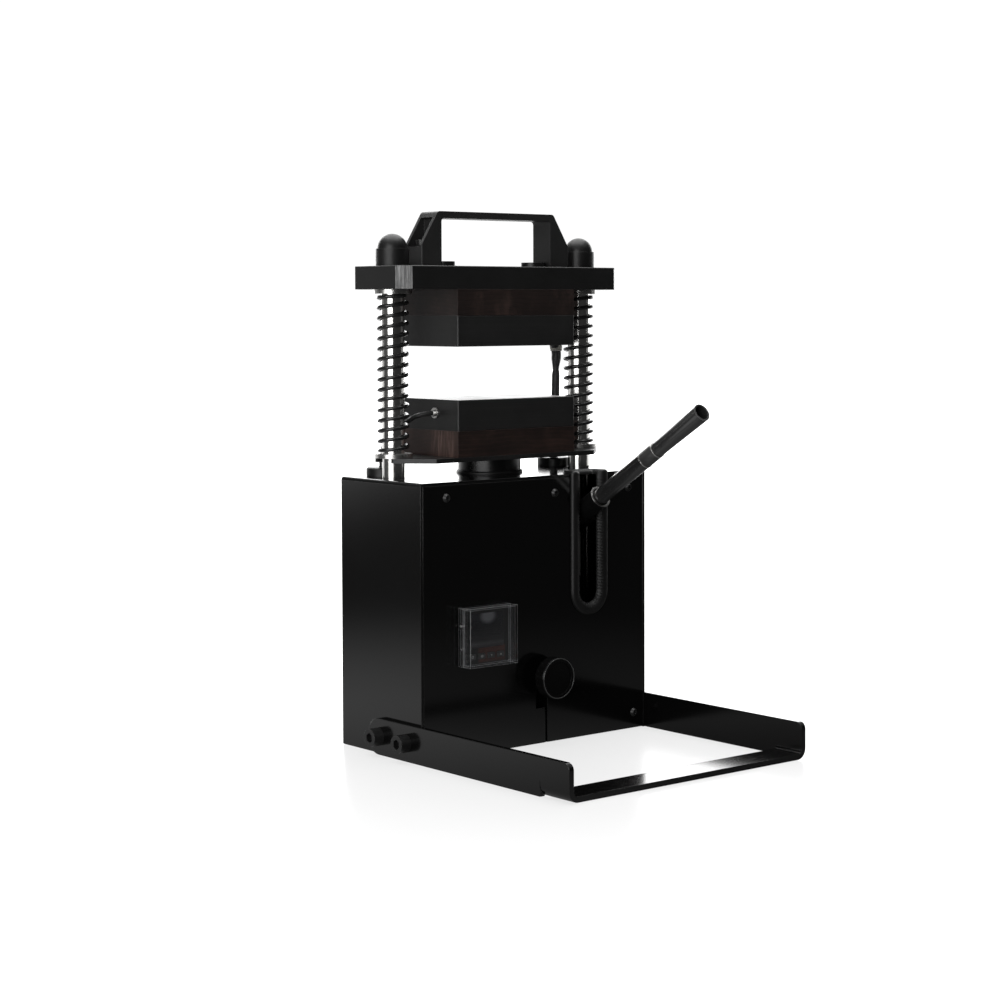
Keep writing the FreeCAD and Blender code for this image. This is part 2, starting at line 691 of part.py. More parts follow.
def pump_link(x):
    """Upright strap whose left face is at x, holed at both pins."""
    strap = fuse(
        box(x, "-pivot_y-link_r", "foot_pin_z", "link_thick", "2*link_r", "pivot_z-foot_pin_z"),
        *[cyl(x, "-pivot_y", z, "link_r", "link_thick", "+X") for z in ("foot_pin_z", "pivot_z")])
    return cut(strap, *[cyl(x, "-pivot_y", z, "pin_r+0.05", "link_thick", "+X")
                        for z in ("foot_pin_z", "pivot_z")])


node("pump_links", group(pump_link("slot_x-10-link_thick"), pump_link("slot_x+10")))


def link_pin(z):
    return fuse(cyl("slot_x-15.5", "-pivot_y", z, "pin_r", 31, "+X"),
                cyl("slot_x-16.9", "-pivot_y", z, 5, 2.4, "+X"),
                cyl("slot_x+14.5", "-pivot_y", z, 5, 2.4, "+X"))


node("link_pins", group(link_pin("foot_pin_z"), link_pin("pivot_z")))

# ======================================================================= lever
# Drawn along its own axis, which leans to the front: reach runs out along the
# lever from the pivot, and rise is square to it.
LEAN = Rotation(Vector(1, 0, 0), 90 - num("lever_deg"))
REACH = LEAN.multVec(Vector(0, 0, 1))
RISE = LEAN.multVec(Vector(0, 1, 0))
PIVOT = Vector(num("slot_x"), -num("pivot_y"), num("pivot_z"))


def on_lever(obj, reach, x=0.0, rise=0.0, turn=Rotation()):
    spot = PIVOT + REACH * reach + RISE * rise + Vector(x, 0, 0)
    obj.Placement = Placement(spot, LEAN.multiply(turn))
    return obj


def lever_cyl(reach, radius, length):
    return on_lever(cyl(0, 0, 0, radius, length), reach)


def lever_cone(reach, start_r, end_r, length):
    return on_lever(cone(0, 0, 0, start_r, end_r, length), reach)


def lever_box(reach, length, x, width, rise, height):
    return on_lever(box(0, 0, 0, width, height, length), reach, x, rise)


def lever_pin(reach, rise, radius, x, length):
    """Cylinder across the lever, from x towards +X."""
    return on_lever(cyl(0, 0, 0, radius, length), reach, x, rise, TURN["+X"])


ear_half = num("ear_half")
ear_thick = num("ear_thick")
socket_length = num("socket_length")
ears = [fuse(lever_box(0, 48, x, ear_thick, -ear_half, 2 * ear_half),
             lever_pin(0, 0, ear_half, x, ear_thick))
        for x in (-ear_half, ear_half - ear_thick)]
sleeve = lever_cyl(38, "socket_r", "socket_length-38-socket_lip")
lip = lever_cyl(socket_length - num("socket_lip"), "socket_r+0.7", "socket_lip")
socket_bore = lever_cyl(41, "lever_r+0.1", 60)
pivot_hole = lever_pin(0, 0, "pin_r+0.05", -12, 24)
# Long hole through the ears for the plunger's cross pin.
run_start, run_end, run_rise, run_r = 17.6, 26.0, -1.0, 4.9
pin_run = fuse(
    lever_pin(run_start, run_rise, run_r, -12, 24), lever_pin(run_end, run_rise, run_r, -12, 24),
    lever_box(run_start, run_end - run_start, -12, 24, run_rise - run_r, 2 * run_r))
node("lever_socket", cut(fuse(sleeve, lip, *ears), socket_bore, pivot_hole, pin_run))

node("lever_lower_tube", cut(lever_cyl(42, "lever_r", 103), lever_cyl(41, "lever_r-1.5", 105)))

# Upper tube: a thin spigot inside the lower tube, then a widening grip.
grip_r, grip_end_r = 7.05, 8.0
bore_r, bore_end_r = 4.4, 6.6
node("lever_upper_tube", cut(
    fuse(lever_cyl(120, "lever_r-1.6", 25.2), lever_cyl(145.2, grip_r, 24),
         lever_cone(169, grip_r, grip_end_r, 50), lever_cyl(219, grip_end_r, "lever_length-219")),
    lever_cyl(119, bore_r, 50), lever_cone(168.9, bore_r, bore_end_r, 50),
    lever_cyl(218.8, bore_end_r, 10)))

# ================================================================== valve, knob
stem_front = "(house_front+knob_reach-knob_web)"
node("valve_stem", fuse(
    cyl("valve_x", "-" + stem_front, "valve_z", 4, stem_front + "-50", "+Y"),
    cyl("valve_x", -56.5, "valve_z", 5, 22, "+Y"), cone("valve_x", -34.5, "valve_z", 5, 1, 4, "+Y")))

knob_front = "house_front+knob_reach"
knob_back = knob_front + "-knob_thick"
knob = body("release_knob")
pad(knob, "XZ", knob_back, "knob_thick", circles=[("valve_x", "valve_z", "knob_r")])
dress(knob, "Chamfer", 1.2, lambda edge: near(edge.YMin, edge.YMax) and edge.XLength > 30)
pocket(knob, "XZ", knob_front, 1.2, circles=[("valve_x", "valve_z", "knob_r-3.4")])
pocket(knob, "XZ", knob_back, "knob_thick-knob_web", back=True,
       circles=[("valve_x", "valve_z", 4.02)])
# shallow grip flutes around the rim
unfluted_volume = knob.Shape.Volume
flute = pocket(knob, "XZ", knob_back, "knob_thick-3", back=True,
               circles=[("valve_x", "valve_z+knob_r+0.75", 1.35)])
flutes = knob.newObject("PartDesign::PolarPattern", "flutes")
flutes.Originals = [flute]
# A sketch centred on the stem; its normal is the axis of the pattern.
axis_sketch = new_sketch(knob, "XZ", "0")
axis_sketch.addGeometry(Part.LineSegment(Vector(0, 0, 0), Vector(1, 0, 0)))
axis_sketch.AttachmentOffset = Placement(Vector(num("valve_x"), num("valve_z"), 0), Rotation())
drive(axis_sketch, "AttachmentOffset.Base.x", "valve_x")
drive(axis_sketch, "AttachmentOffset.Base.y", "valve_z")
flutes.Axis = (axis_sketch, ["N_Axis"])
flutes.Angle = 360
flutes.Occurrences = 24
knob.Tip = flutes
doc.recompute()
if not knob.Shape.Volume < unfluted_volume - 50:
    raise RuntimeError("knob flutes missing")

# ===================================================================== housing
SLOT_LEFT = "slot_x-slot_in-slot_wall"
SLOT_RIGHT = "slot_x+slot_in+slot_wall"
shell = body("housing_shell")
pad(shell, "XZ", "-house_back", "house_front+house_back", outline=mirrored([
    ("(house_width/2-sheet)", "house_top-sheet"), ("(house_width/2-sheet)", "0"),
    ("house_width/2", "0"), ("house_width/2", "house_top")]))
dress(shell, "Fillet", "house_bend", lambda edge: along(edge, "y") and near(edge.ZMin, "house_top"))
dress(shell, "Fillet", "house_bend-sheet",
      lambda edge: along(edge, "y") and near(edge.ZMin, "house_top-sheet")
      and abs(edge.XMin) > 120)
pocket(shell, "XY", "house_top", "sheet", circles=[
    *pair("rod_x", "0", "rod_r+1"), *pair("gland_x", "gland_y", 9), ("0", "0", "head_r+0.6")])
# the lever slot runs over the front edge into the top
pocket(shell, "XY", "house_top", "sheet",
       rects=[(SLOT_LEFT, SLOT_RIGHT, "-(house_front+2)", "-(slot_back-slot_wall)")])
pocket(shell, "YZ", "0", "house_width+10", both=True,
       circles=[("-tray_bolt_rear", "tray_height/2", 5.5),
                ("-tray_bolt_front", "tray_height/2", 5.5)])


def panel(label, offset):
    half = "(house_width/2-sheet-seam)"
    part = body(label)
    pad(part, "XZ", offset, "sheet", rects=[("-" + half, half, "seam", "house_top-sheet-seam")])
    return part


front = panel("front_panel", "house_front-sheet")
control_hole = 22.8  # half the side of the controller's square hole
pocket(front, "XZ", "house_front", "sheet",
       circles=[(x, z, PANEL_HOLE_R) for x, z in FRONT_SCREWS + FOOT_SCREWS],
       rects=[("control_x-%s" % control_hole, "control_x+%s" % control_hole,
               "control_z-%s" % control_hole, "control_z+%s" % control_hole)])
# the lever slot: straight sides, round bottom
pocket(front, "XZ", "house_front", "sheet",
       rects=[(SLOT_LEFT, SLOT_RIGHT, "slot_z", "house_top+5")])
pocket(front, "XZ", "house_front", "sheet", circles=[("slot_x", "slot_z", "slot_in+slot_wall")])
# hole for the valve stem, with the drop slot that lets the panel lift off past it
pocket(front, "XZ", "house_front", "sheet", circles=[("valve_x", "valve_z", 10)])
pocket(front, "XZ", "house_front", "sheet", rects=[(-1.9, 11.2, 31.6, "valve_z-6")])
pocket(front, "XZ", "house_front", "sheet", rects=[(8.4, 11.2, -2, 32)])

rear = panel("rear_panel", "-house_back")
inlet_hole = (46, 74, 86, 106)
switch_hole = (53.4, 66.6, 124.4, 143.6)
pocket(rear, "XZ", "-(house_back-sheet)", "sheet",
       circles=[(x, z, PANEL_HOLE_R) for x, z in REAR_SCREWS + FOOT_SCREWS],
       rects=[inlet_hole, switch_hole])

# Strips under the top that take the panels' upper screws.
rail_z, rail_depth = 213, 8
rear_rail_y = "%s-%d" % (base_back, rail_depth)
rails = []
for left, right, rail_y, rail_screws in (
        (-112, 34, "-" + base_front, FRONT_SCREWS[:2]),
        (96, 120, "-" + base_front, FRONT_SCREWS[2:]),
        (-72, 72, rear_rail_y, REAR_SCREWS)):
    strip = box(left, rail_y, rail_z, right - left, rail_depth, "house_top-sheet-%d" % rail_z)
    rails.append(cut(strip, *[cyl(x, rail_y + "-1", z, PANEL_TAP_R, 10, "+Y")
                              for x, z in rail_screws]))
node("panel_rails", group(*rails))


def button_screw(x, y, z, to):
    shank = cyl(x, y, z, 2, 7.5, to)
    head = cone(x, y, z, 3.9, 2.6, 2.2, opposite(to))
    socket = hexagon(x, "%s%s2.21" % (y, opposite(to)[0]), z, 1.45, 1.3, to)
    return cut(fuse(shank, head), socket)


node("panel_screws", group(
    *[button_screw(x, "-house_front", z, "+Y") for x, z in FRONT_SCREWS + FOOT_SCREWS],
    *[button_screw(x, "house_back", z, "-Y") for x, z in REAR_SCREWS + FOOT_SCREWS]))

# Rubber trim of the slot: a rounded band on the panel that folds over the
# front edge and closes around the notch in the top cover.
trim_y = "-(house_front+trim_front)"
front_band = fuse(
    box("slot_x-slot_out", trim_y, "slot_z", "2*slot_out", "trim_front-trim_fit",
        "house_top+trim_top-slot_z"),
    cyl("slot_x", "-(house_front+trim_fit)", "slot_z", "slot_out", "trim_front-trim_fit", "-Y"))
top_band = box("slot_x-slot_out", trim_y, "house_top+trim_fit", "2*slot_out",
               "house_front+trim_front-slot_back+11.4", "trim_top-trim_fit")
neck_y = "-(house_front+0.5)"
neck = fuse(
    box("slot_x-slot_in-3.9", neck_y, "slot_z", "2*slot_in+7.8", 2.4, "house_top-slot_z+0.2"),
    cyl("slot_x", neck_y, "slot_z", "slot_in+3.9", 2.4, "+Y"),
    box("slot_x-slot_in-3.9", neck_y, "house_top-sheet-0.4", "2*slot_in+7.8",
        "house_front+0.5-slot_back+3.9", "sheet+0.6"))
opening = fuse(
    box("slot_x-slot_in", -90, "slot_z", "2*slot_in", "90-slot_back", 150),
    cyl("slot_x", -90, "slot_z", "slot_in", 40, "+Y"))
node("slot_trim", cut(fuse(front_band, top_band, neck), opening))

node("ram_wiper", cut(
    fuse(cyl(0, 0, "house_top", "head_r+1.9", 1.4),
         cone(0, 0, "house_top+1.4", "head_r+1.9", "head_r+1.3", 0.9)),
    cyl(0, 0, "house_top-1", "head_r+0.35", 6)))


def cable_gland(x):
    """Disc with a beveled top, a neck through the cover and a nut below it."""
    disc = fuse(
        cyl(x, "gland_y", "house_top", "gland_r", "gland_thick-1"),
        cone(x, "gland_y", "house_top+gland_thick-1", "gland_r", "gland_r-1", 1),
        cyl(x, "gland_y", "house_top-9", 8.9, 10),
        cyl(x, "gland_y", "house_top-sheet-5.5", 12.5, 5.5))
    return cut(disc, cyl(x, "gland_y", "house_top-20", 4.3, 40))


node("cable_glands", group(*[cable_gland(side + "gland_x") for side in SIDES]))

# ======================================================================= stand
# A channel across the front, and two side arms that run back to the base.
strip_back = "(tray_front-tray_bar-tray_lap)"
tray_inner = "(tray_width/2-tray_thick)"
tray = body("tray_stand")
pad(tray, "XZ", strip_back, "tray_bar+tray_lap", outline=mirrored([
    ("tray_width/2", "0"), ("tray_width/2", "tray_height"),
    (tray_inner, "tray_height"), (tray_inner, "tray_thick")]))
dress(tray, "Fillet", 9, lambda edge: along(edge, "y") and near(edge.ZMin, 0))
dress(tray, "Fillet", 4.2, lambda edge: along(edge, "y") and near(edge.ZMin, "tray_thick"))
# clears the floor between the arms behind the bar
pocket(tray, "XY", "12", 14, rects=[
    ("-" + tray_inner, tray_inner, "-(tray_front-tray_bar)", "-(tray_front-tray_bar-8)")])
for side in ("", "-"):
    inward = (side == "")
    pad(tray, "YZ", side + "tray_width/2", "tray_thick", back=inward, outline=[
        ("-" + strip_back, "tray_height"), ("-" + strip_back, "0"),
        ("-tray_bolt_rear", "0"), ("-tray_bolt_rear", "tray_height")])
    pad(tray, "YZ", side + "tray_width/2", "tray_thick", back=inward,
        circles=[("-tray_bolt_rear", "tray_height/2", "tray_height/2")])
pocket(tray, "YZ", "0", "tray_width+10", both=True,
       circles=[("-tray_bolt_rear", "tray_height/2", 5.3),
                ("-tray_bolt_front", "tray_height/2", 5.3)])
# shallow grooves where the arms meet the strip
for side in ("", "-"):
    pocket(tray, "YZ", side + "tray_width/2", 0.9, back=(side == "-"),
           rects=[("-(%s+0.4)" % strip_back, "-(%s-0.4)" % strip_back, -1, 13)])
dress(tray, "Fillet", 6,
      lambda edge: along(edge, "x") and near(edge.YMin, "-tray_front") and edge.ZMin > 25)

node("tray_bolts", group(*[
    cap_screw(side + "(tray_width/2)", y, "tray_height/2", to, head_r=7.8, head_height=10,
              shank_r=5, shank_length=18.5, across=8, socket_depth=5)
    for side, to in (("-", "+X"), ("", "-X"))
    for y in ("-tray_bolt_rear", "-tray_bolt_front")]))

# ================================================================== controller
KEYS = {"set_key": -15.6, "shift_key": -5.2, "down_key": 5.2, "up_key": 15.6}  # x from centre
case = fuse(
    box("control_x-case_half", "-house_front", "control_z-case_half",
        "2*case_half", 58, "2*case_half"),
    box("control_x-bezel_half", "-house_front-5", "control_z-bezel_half",
        "2*bezel_half", 5, "2*bezel_half"))
key_wells = [box("control_x%+.2f" % (key_x - 3.9), "-house_front-5.2", "control_z-20.1",
                 7.8, 2.6, 5.2) for key_x in KEYS.values()]
glass_seat = box("control_x-19.5", "-house_front-5.2", "control_z-10.5", 39, 1.0, 30)
node("controller_case", cut(case, glass_seat, *key_wells))
for label, key_x in KEYS.items():
    node(label, box("control_x%+.2f" % (key_x - 3.5), "-house_front-6.0", "control_z-19.7",
                    7.0, 2.6, 4.4))

cover_left = "control_x-cover_width/2"
cover_bottom = "control_z-cover_height/2"
hinge_heights = ("control_z+9.75", "control_z-10.25")
frame = cut(box(cover_left, "-house_front-cover_back", cover_bottom,
                "cover_width", "cover_back", "cover_height"),
            box("control_x-24.3", "-house_front-cover_back-1", "control_z-24.1",
                48.6, "cover_back+2", 48.2))
node("cover_frame", cut(frame, *[
    cyl(cover_left + "-1", "-house_front-3", z, 0.85, 2.4, "+X") for z in hinge_heights]))
node("cover_hinge_pins", group(*[
    cyl(cover_left + "-0.5", "-house_front-3", z, 0.8, 1.6, "+X") for z in hinge_heights]))
node("cover_lid", cut(
    box(cover_left, "-house_front-cover_reach", cover_bottom,
        "cover_width", "cover_reach-cover_back-0.2", "cover_height"),
    box(cover_left + "+cover_wall", "-house_front-cover_reach+cover_wall",
        cover_bottom + "+cover_wall",
        "cover_width-2*cover_wall", "cover_reach", "cover_height-2*cover_wall")))

# ==================================================================== electrics
node("relay", cut(box(-92, -40, "base_top", 44, 57, 23),
                  box(-93, -30, "base_top+15", 4, 37, 9),
                  box(-51, -30, "base_top+15", 4, 37, 9)))

# Flanged inlet, open to the rear, with a flat tongue left inside.
inlet_hollow = cut(box(47.7, "house_back-16", 87.7, 24.6, 30, 16.6),
                   box(53, "house_back-17", 94.8, 14, 15, 2.4))
node("power_inlet", cut(fuse(box(44, "house_back", 84, 32, 3, 24),
                             box(46.2, "house_back-22", 86.2, 27.6, 22, 19.6)),
                        inlet_hollow))
node("switch_housing", cut(fuse(box(51.5, "house_back", 122.5, 17, 1.8, 23),
                                box(53.6, "house_back-14", 124.6, 12.8, 14, 18.8)),
                           box(54.6, "house_back-9", 125.6, 10.8, 20, 16.8)))

# Rocker profile about its centre: (up, towards the rear).
ROCKER = [(-6.6, 2.2), (0.0, 4.0), (6.6, 2.2), (5.6, -1.0), (2.2, -3.4), (-2.2, -3.4), (-5.6, -1.0)]


def rocker():
    """Rocker with a shallow V face, extruded along X."""
    centre = Vector(55.0, num("house_back") - 1.2, 134.0)
    corners = [centre + Vector(0, rearward, up) for up, rearward in ROCKER]
    solid = Part.Face(Part.makePolygon(corners + corners[:1])).extrude(Vector(10.0, 0, 0))
    # This turn goes into the shape's placement, which plain() sets.
    solid.rotate(centre, Vector(1, 0, 0), -8.0)
    return solid


plain("power_rocker", rocker())

# ============================================================ checks and export
doc.recompute()
faults = []
for obj in doc.Objects:
    state = " ".join(obj.State)
    if "Invalid" in state or "Error" in state:
        faults.append("%s (%s): %s" % (obj.Name, obj.Label, state))
for label, obj in NODES.items():
    if obj.Shape.isNull() or not obj.Shape.isValid() or not obj.Shape.Solids:
        faults.append("bad shape: " + label)
if faults:
    raise RuntimeError("\n".join(faults))
os.makedirs("parts", exist_ok=True)
for label, obj in NODES.items():
    obj.Shape.exportStep("parts/" + label + ".step")
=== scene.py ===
# A small bench press with heated platens, a hydraulic jack and a pump lever.
# It stands on z = 0 and faces -Y, with X across it. Sizes are in mm, scaled by MM where used.
import json
import math

import bmesh
import bpy
from mathutils import Matrix, Vector, noise


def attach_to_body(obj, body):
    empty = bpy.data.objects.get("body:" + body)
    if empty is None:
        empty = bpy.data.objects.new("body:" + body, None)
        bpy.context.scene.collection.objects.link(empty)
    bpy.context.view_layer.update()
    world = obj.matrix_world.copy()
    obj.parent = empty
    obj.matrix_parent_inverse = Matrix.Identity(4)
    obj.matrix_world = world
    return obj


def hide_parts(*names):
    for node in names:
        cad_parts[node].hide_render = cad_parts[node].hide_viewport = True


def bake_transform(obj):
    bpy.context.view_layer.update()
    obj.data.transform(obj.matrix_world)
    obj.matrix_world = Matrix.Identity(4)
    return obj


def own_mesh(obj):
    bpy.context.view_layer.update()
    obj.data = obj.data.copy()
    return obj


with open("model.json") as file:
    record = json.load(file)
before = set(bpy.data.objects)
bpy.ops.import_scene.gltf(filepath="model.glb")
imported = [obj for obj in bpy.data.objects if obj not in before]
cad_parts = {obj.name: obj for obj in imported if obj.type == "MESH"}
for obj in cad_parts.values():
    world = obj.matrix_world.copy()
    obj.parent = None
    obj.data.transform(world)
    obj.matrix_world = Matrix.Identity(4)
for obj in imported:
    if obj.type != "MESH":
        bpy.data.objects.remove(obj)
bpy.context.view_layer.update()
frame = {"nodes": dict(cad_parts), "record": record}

NODES = frame["nodes"]
MM = 0.001


# ------------------------------------------------------------------ node trees
MID = (0.3, 0.7)  # the range that holds most of a noise texture's values
SURFACE_INPUTS = {
    "metal": "Metallic",
    "specular": "Specular IOR Level",
    "coat": "Coat Weight",
    "coat_rough": "Coat Roughness",
}


def rgb(colour):
    """RGBA from a grey level or a triple; sockets pass through."""
    if isinstance(colour, bpy.types.NodeSocket):
        return colour
    if isinstance(colour, (int, float)):
        colour = (colour, colour, colour)
    return (colour[0], colour[1], colour[2], 1.0)


class Tree:
    """A short way to write a node tree. Each method adds nodes and returns a socket."""

    def __init__(self, name, world=None):
        self.owner = world or bpy.data.materials.new(name)
        self.owner.use_nodes = True
        self.tree = self.owner.node_tree
        self.tree.nodes.clear()
        self.object_place = None

    def node(self, kind, inputs=None, out=0, **attributes):
        new = self.tree.nodes.new("ShaderNode" + kind)
        for key, value in attributes.items():
            setattr(new, key, value)
        for key, value in (inputs or {}).items():
            if isinstance(value, bpy.types.NodeSocket):
                self.tree.links.new(value, new.inputs[key])
            else:
                new.inputs[key].default_value = value
        return new.outputs[out]

    def math(self, operation, a, b=0.0, c=0.0, clamp=False):
        return self.node("Math", {0: a, 1: b, 2: c}, operation=operation, use_clamp=clamp)

    def plus(self, a, b, clamp=False):
        return self.math("ADD", a, b, clamp=clamp)

    def times(self, a, b, clamp=False):
        return self.math("MULTIPLY", a, b, clamp=clamp)

    def vector(self, operation, a, b):
        return self.node("VectorMath", {0: a, 1: b}, operation=operation)

    def dot(self, a, b):
        return self.node("VectorMath", {0: a, 1: b}, out="Value", operation="DOT_PRODUCT")

    def length(self, vector):
        return self.node("VectorMath", {0: vector}, out="Value", operation="LENGTH")

    def axis(self, vector, letter):
        return self.node("SeparateXYZ", {0: vector}, out=letter)

    def facing(self):
        return self.node("NewGeometry", out="True Normal")

    def mix(self, amount, a, b):
        return self.node("Mix", {0: amount, 6: rgb(a), 7: rgb(b)}, out=2, data_type="RGBA")

    def mix_value(self, amount, a, b):
        return self.node("Mix", {0: amount, 2: a, 3: b}, out=0, data_type="FLOAT")

    def remap(self, value, window, to=(0.0, 1.0), smooth=False):
        return self.node("MapRange", {"Value": value, "From Min": window[0],
                                      "From Max": window[1], "To Min": to[0], "To Max": to[1]},
                         interpolation_type="SMOOTHSTEP" if smooth else "LINEAR")

    def ramp(self, amount, stops):
        """Colour ramp; stops are (position, colour)."""
        new = self.tree.nodes.new("ShaderNodeValToRGB")
        elements = new.color_ramp.elements
        elements[0].position, elements[0].color = stops[0][0], rgb(stops[0][1])
        elements[1].position, elements[1].color = stops[-1][0], rgb(stops[-1][1])
        for position, colour in stops[1:-1]:
            elements.new(position).color = rgb(colour)
        self.tree.links.new(amount, new.inputs[0])
        return new.outputs[0]

    def place(self):
        """Object coordinates, from one shared node."""
        if self.object_place is None:
            self.object_place = self.node("TexCoord", out="Object")
        return self.object_place

    def scaled(self, scale, turn=(0, 0, 0)):
        return self.node("Mapping", {"Vector": self.place(), "Scale": scale, "Rotation": turn})

    def noise(self, scale, detail=2.0, rough=0.5, place=None, out="Fac"):
        return self.node("TexNoise", {"Vector": place or self.place(), "Scale": scale,
                                      "Detail": detail, "Roughness": rough}, out=out)

    def streaks(self, scale, detail, rough):
        """Noise with its own scale along each axis."""
        return self.noise(1.0, detail, rough, self.scaled(scale))

    def rounded(self, radius, samples=4):
        """Shading normal with rounded edges, radius in mm."""
        return self.node("Bevel", {"Radius": radius * MM}, samples=samples)

    def edge_mask(self, rounded):
        """1 where the rounded normal leaves the true one, on sharp edges."""
        away = self.dot(rounded, self.node("NewGeometry", out="Normal"))
        return self.remap(away, (0.995, 0.86))

    def bump(self, height, strength, depth, normal=None):
        inputs = {"Strength": strength, "Distance": depth * MM, "Height": height}
        if normal is not None:
            inputs["Normal"] = normal
        return self.node("Bump", inputs)

    def done(self, shader, output="OutputMaterial"):
        end = self.tree.nodes.new("ShaderNode" + output)
        self.tree.links.new(shader, end.inputs["Surface"])
        return self.owner

    def principled(self, colour, rough, normal=None, **others):
        inputs = {"Base Color": rgb(colour), "Roughness": rough}
        if normal is not None:
            inputs["Normal"] = normal
        for key, value in others.items():
            inputs[SURFACE_INPUTS[key]] = value
        return self.done(self.node("BsdfPrincipled", inputs))


# ------------------------------------------------------------------- materials
def finish(name, base, rough, metal=0.0, specular=0.5, vary=0.25, grain=900.0, bump=0.12,
           depth=0.05, edge=0.35, edge_colour=None, edge_rough=0.0, rough_vary=0.06,
           blotch=18.0, coat=0.0):
    """Moulded, cast or painted surface: soft edges, fine texture, uneven colour and gloss.

    vary and rough_vary spread the colour and roughness, grain and blotch are the fine and
    broad noise scales, depth and edge (the rounding) are in mm."""
    tree = Tree(name)
    base = rgb(base)[:3]
    dark = [channel * (1 - vary) for channel in base]
    light = [min(1, channel * (1 + vary)) for channel in base]
    broad = tree.noise(blotch, detail=3.0, rough=0.6)
    colour = tree.mix(tree.remap(broad, MID), dark, light)
    speck = tree.noise(grain * 0.45, detail=2.0, rough=0.6)
    colour = tree.mix(tree.remap(speck, (0.35, 0.75), to=(0.0, 0.35)), colour, light)
    gloss = tree.noise(blotch * 2.3, detail=4.0, rough=0.65)
    gloss = tree.remap(gloss, (0.25, 0.75), to=(rough - rough_vary, rough + rough_vary))
    gloss = tree.plus(gloss, tree.remap(speck, MID, to=(-0.02, 0.02)))
    normal = tree.rounded(edge)
    if edge_colour is not None:
        patches = tree.noise(220.0, detail=3.0, rough=0.7)
        worn = tree.times(tree.edge_mask(normal), tree.remap(patches, (0.35, 0.62)), clamp=True)
        colour = tree.mix(worn, colour, edge_colour)
        gloss = tree.plus(gloss, tree.times(worn, edge_rough))
    fine = tree.noise(grain, detail=3.0, rough=0.65)
    normal = tree.bump(fine, bump, depth, normal)
    return tree.principled(colour, gloss, normal, metal=metal, specular=specular,
                           coat=coat, coat_rough=0.1)


def powder_coat(name, rough, texture):
    """Near-black glossy coat; rough is its range, texture scales the orange peel."""
    tree = Tree(name)
    broad = tree.noise(7.0, detail=3.0, rough=0.5)
    colour = tree.mix(tree.remap(broad, MID), 0.0014, 0.0021)
    speck = tree.noise(900.0, detail=2.0, rough=0.6)
    colour = tree.mix(tree.remap(speck, (0.5, 0.8), to=(0.0, 0.3)), colour, 0.004)
    gloss = tree.noise(11.0, detail=4.0, rough=0.55)
    gloss = tree.remap(gloss, (0.25, 0.75), to=rough)
    gloss = tree.plus(gloss, tree.remap(speck, MID, to=(-0.006 * texture, 0.008 * texture)))
    normal = tree.rounded(0.9, samples=6)
    patches = tree.noise(160.0, detail=4.0, rough=0.7)
    worn = tree.times(tree.edge_mask(normal), tree.remap(patches, (0.30, 0.60)), clamp=True)
    colour = tree.mix(tree.times(worn, 0.5), colour, 0.035)
    peel = tree.noise(700.0, detail=2.0, rough=0.5)
    normal = tree.bump(peel, strength=0.035 * texture, depth=0.02, normal=normal)
    return tree.principled(colour, gloss, normal, specular=0.62)


def crosshead_finish():
    """Satin black bar; its sawn and brushed corner faces show lighter, streaked metal."""
    tree = Tree("crosshead_black")
    broad = tree.noise(11.0, detail=4.0, rough=0.6)
    colour = tree.mix(tree.remap(broad, MID), 0.0085, 0.013)
    lines = tree.streaks((40.0, 40.0, 900.0), detail=3.0, rough=0.7)
    colour = tree.mix(tree.remap(lines, (0.55, 0.85), to=(0.0, 0.4)), colour, 0.02)
    gloss = tree.noise(22.0, detail=4.0, rough=0.6)
    gloss = tree.remap(gloss, (0.25, 0.75), to=(0.34, 0.44))
    # the corner faces are those that face along X and Y at once
    facing = tree.facing()
    x = tree.math("ABSOLUTE", tree.axis(facing, "X"))
    y = tree.math("ABSOLUTE", tree.axis(facing, "Y"))
    corner = tree.remap(tree.times(x, y), (0.40, 0.46))
    streak = tree.streaks((520.0, 520.0, 22.0), detail=4.0, rough=0.75)
    fine = tree.streaks((1500.0, 1500.0, 60.0), detail=3.0, rough=0.8)
    bare = tree.ramp(tree.math("MULTIPLY_ADD", fine, 0.5, tree.times(streak, 0.5)),
                     [(0.34, 0.02), (0.47, 0.075), (0.56, 0.14), (0.68, 0.30)])
    colour = tree.mix(corner, colour, bare)
    gloss = tree.mix_value(corner, gloss, tree.remap(streak, MID, to=(0.50, 0.38)))
    normal = tree.rounded(0.5)
    patches = tree.noise(180.0, detail=4.0, rough=0.7)
    worn = tree.times(tree.edge_mask(normal), tree.remap(patches, (0.40, 0.62)), clamp=True)
    colour = tree.mix(tree.times(worn, 0.6), colour, 0.06)
    grain = tree.noise(900.0, detail=3.0, rough=0.6)
    height = tree.mix_value(corner, grain, tree.times(fine, 1.6))
    normal = tree.bump(height, strength=0.16, depth=0.05, normal=normal)
    return tree.principled(colour, gloss, normal, metal=tree.times(corner, 0.75), specular=0.45)


def ground_steel(name):
    """Ground and chromed bar: fine rings around it, long faint draw marks."""
    tree = Tree(name)
    rings = tree.streaks((30.0, 30.0, 2400.0), detail=3.0, rough=0.7)
    draw = tree.streaks((260.0, 260.0, 9.0), detail=4.0, rough=0.6)
    bright = tree.plus(tree.remap(rings, MID, to=(-0.05, 0.05)),
                       tree.remap(draw, MID, to=(0.70, 0.84)))
    colour = tree.mix(bright, 0.0, (1.0, 0.985, 0.96))
    gloss = tree.plus(tree.remap(draw, MID, to=(0.15, 0.10)),
                      tree.remap(rings, MID, to=(0.0, 0.05)))
    oil = tree.remap(tree.noise(35.0, detail=4.0, rough=0.7), (0.52, 0.72))
    gloss = tree.plus(gloss, tree.times(oil, 0.08))
    normal = tree.bump(rings, strength=0.05, depth=0.02, normal=tree.rounded(0.3))
    return tree.principled(colour, gloss, normal, metal=1.0)


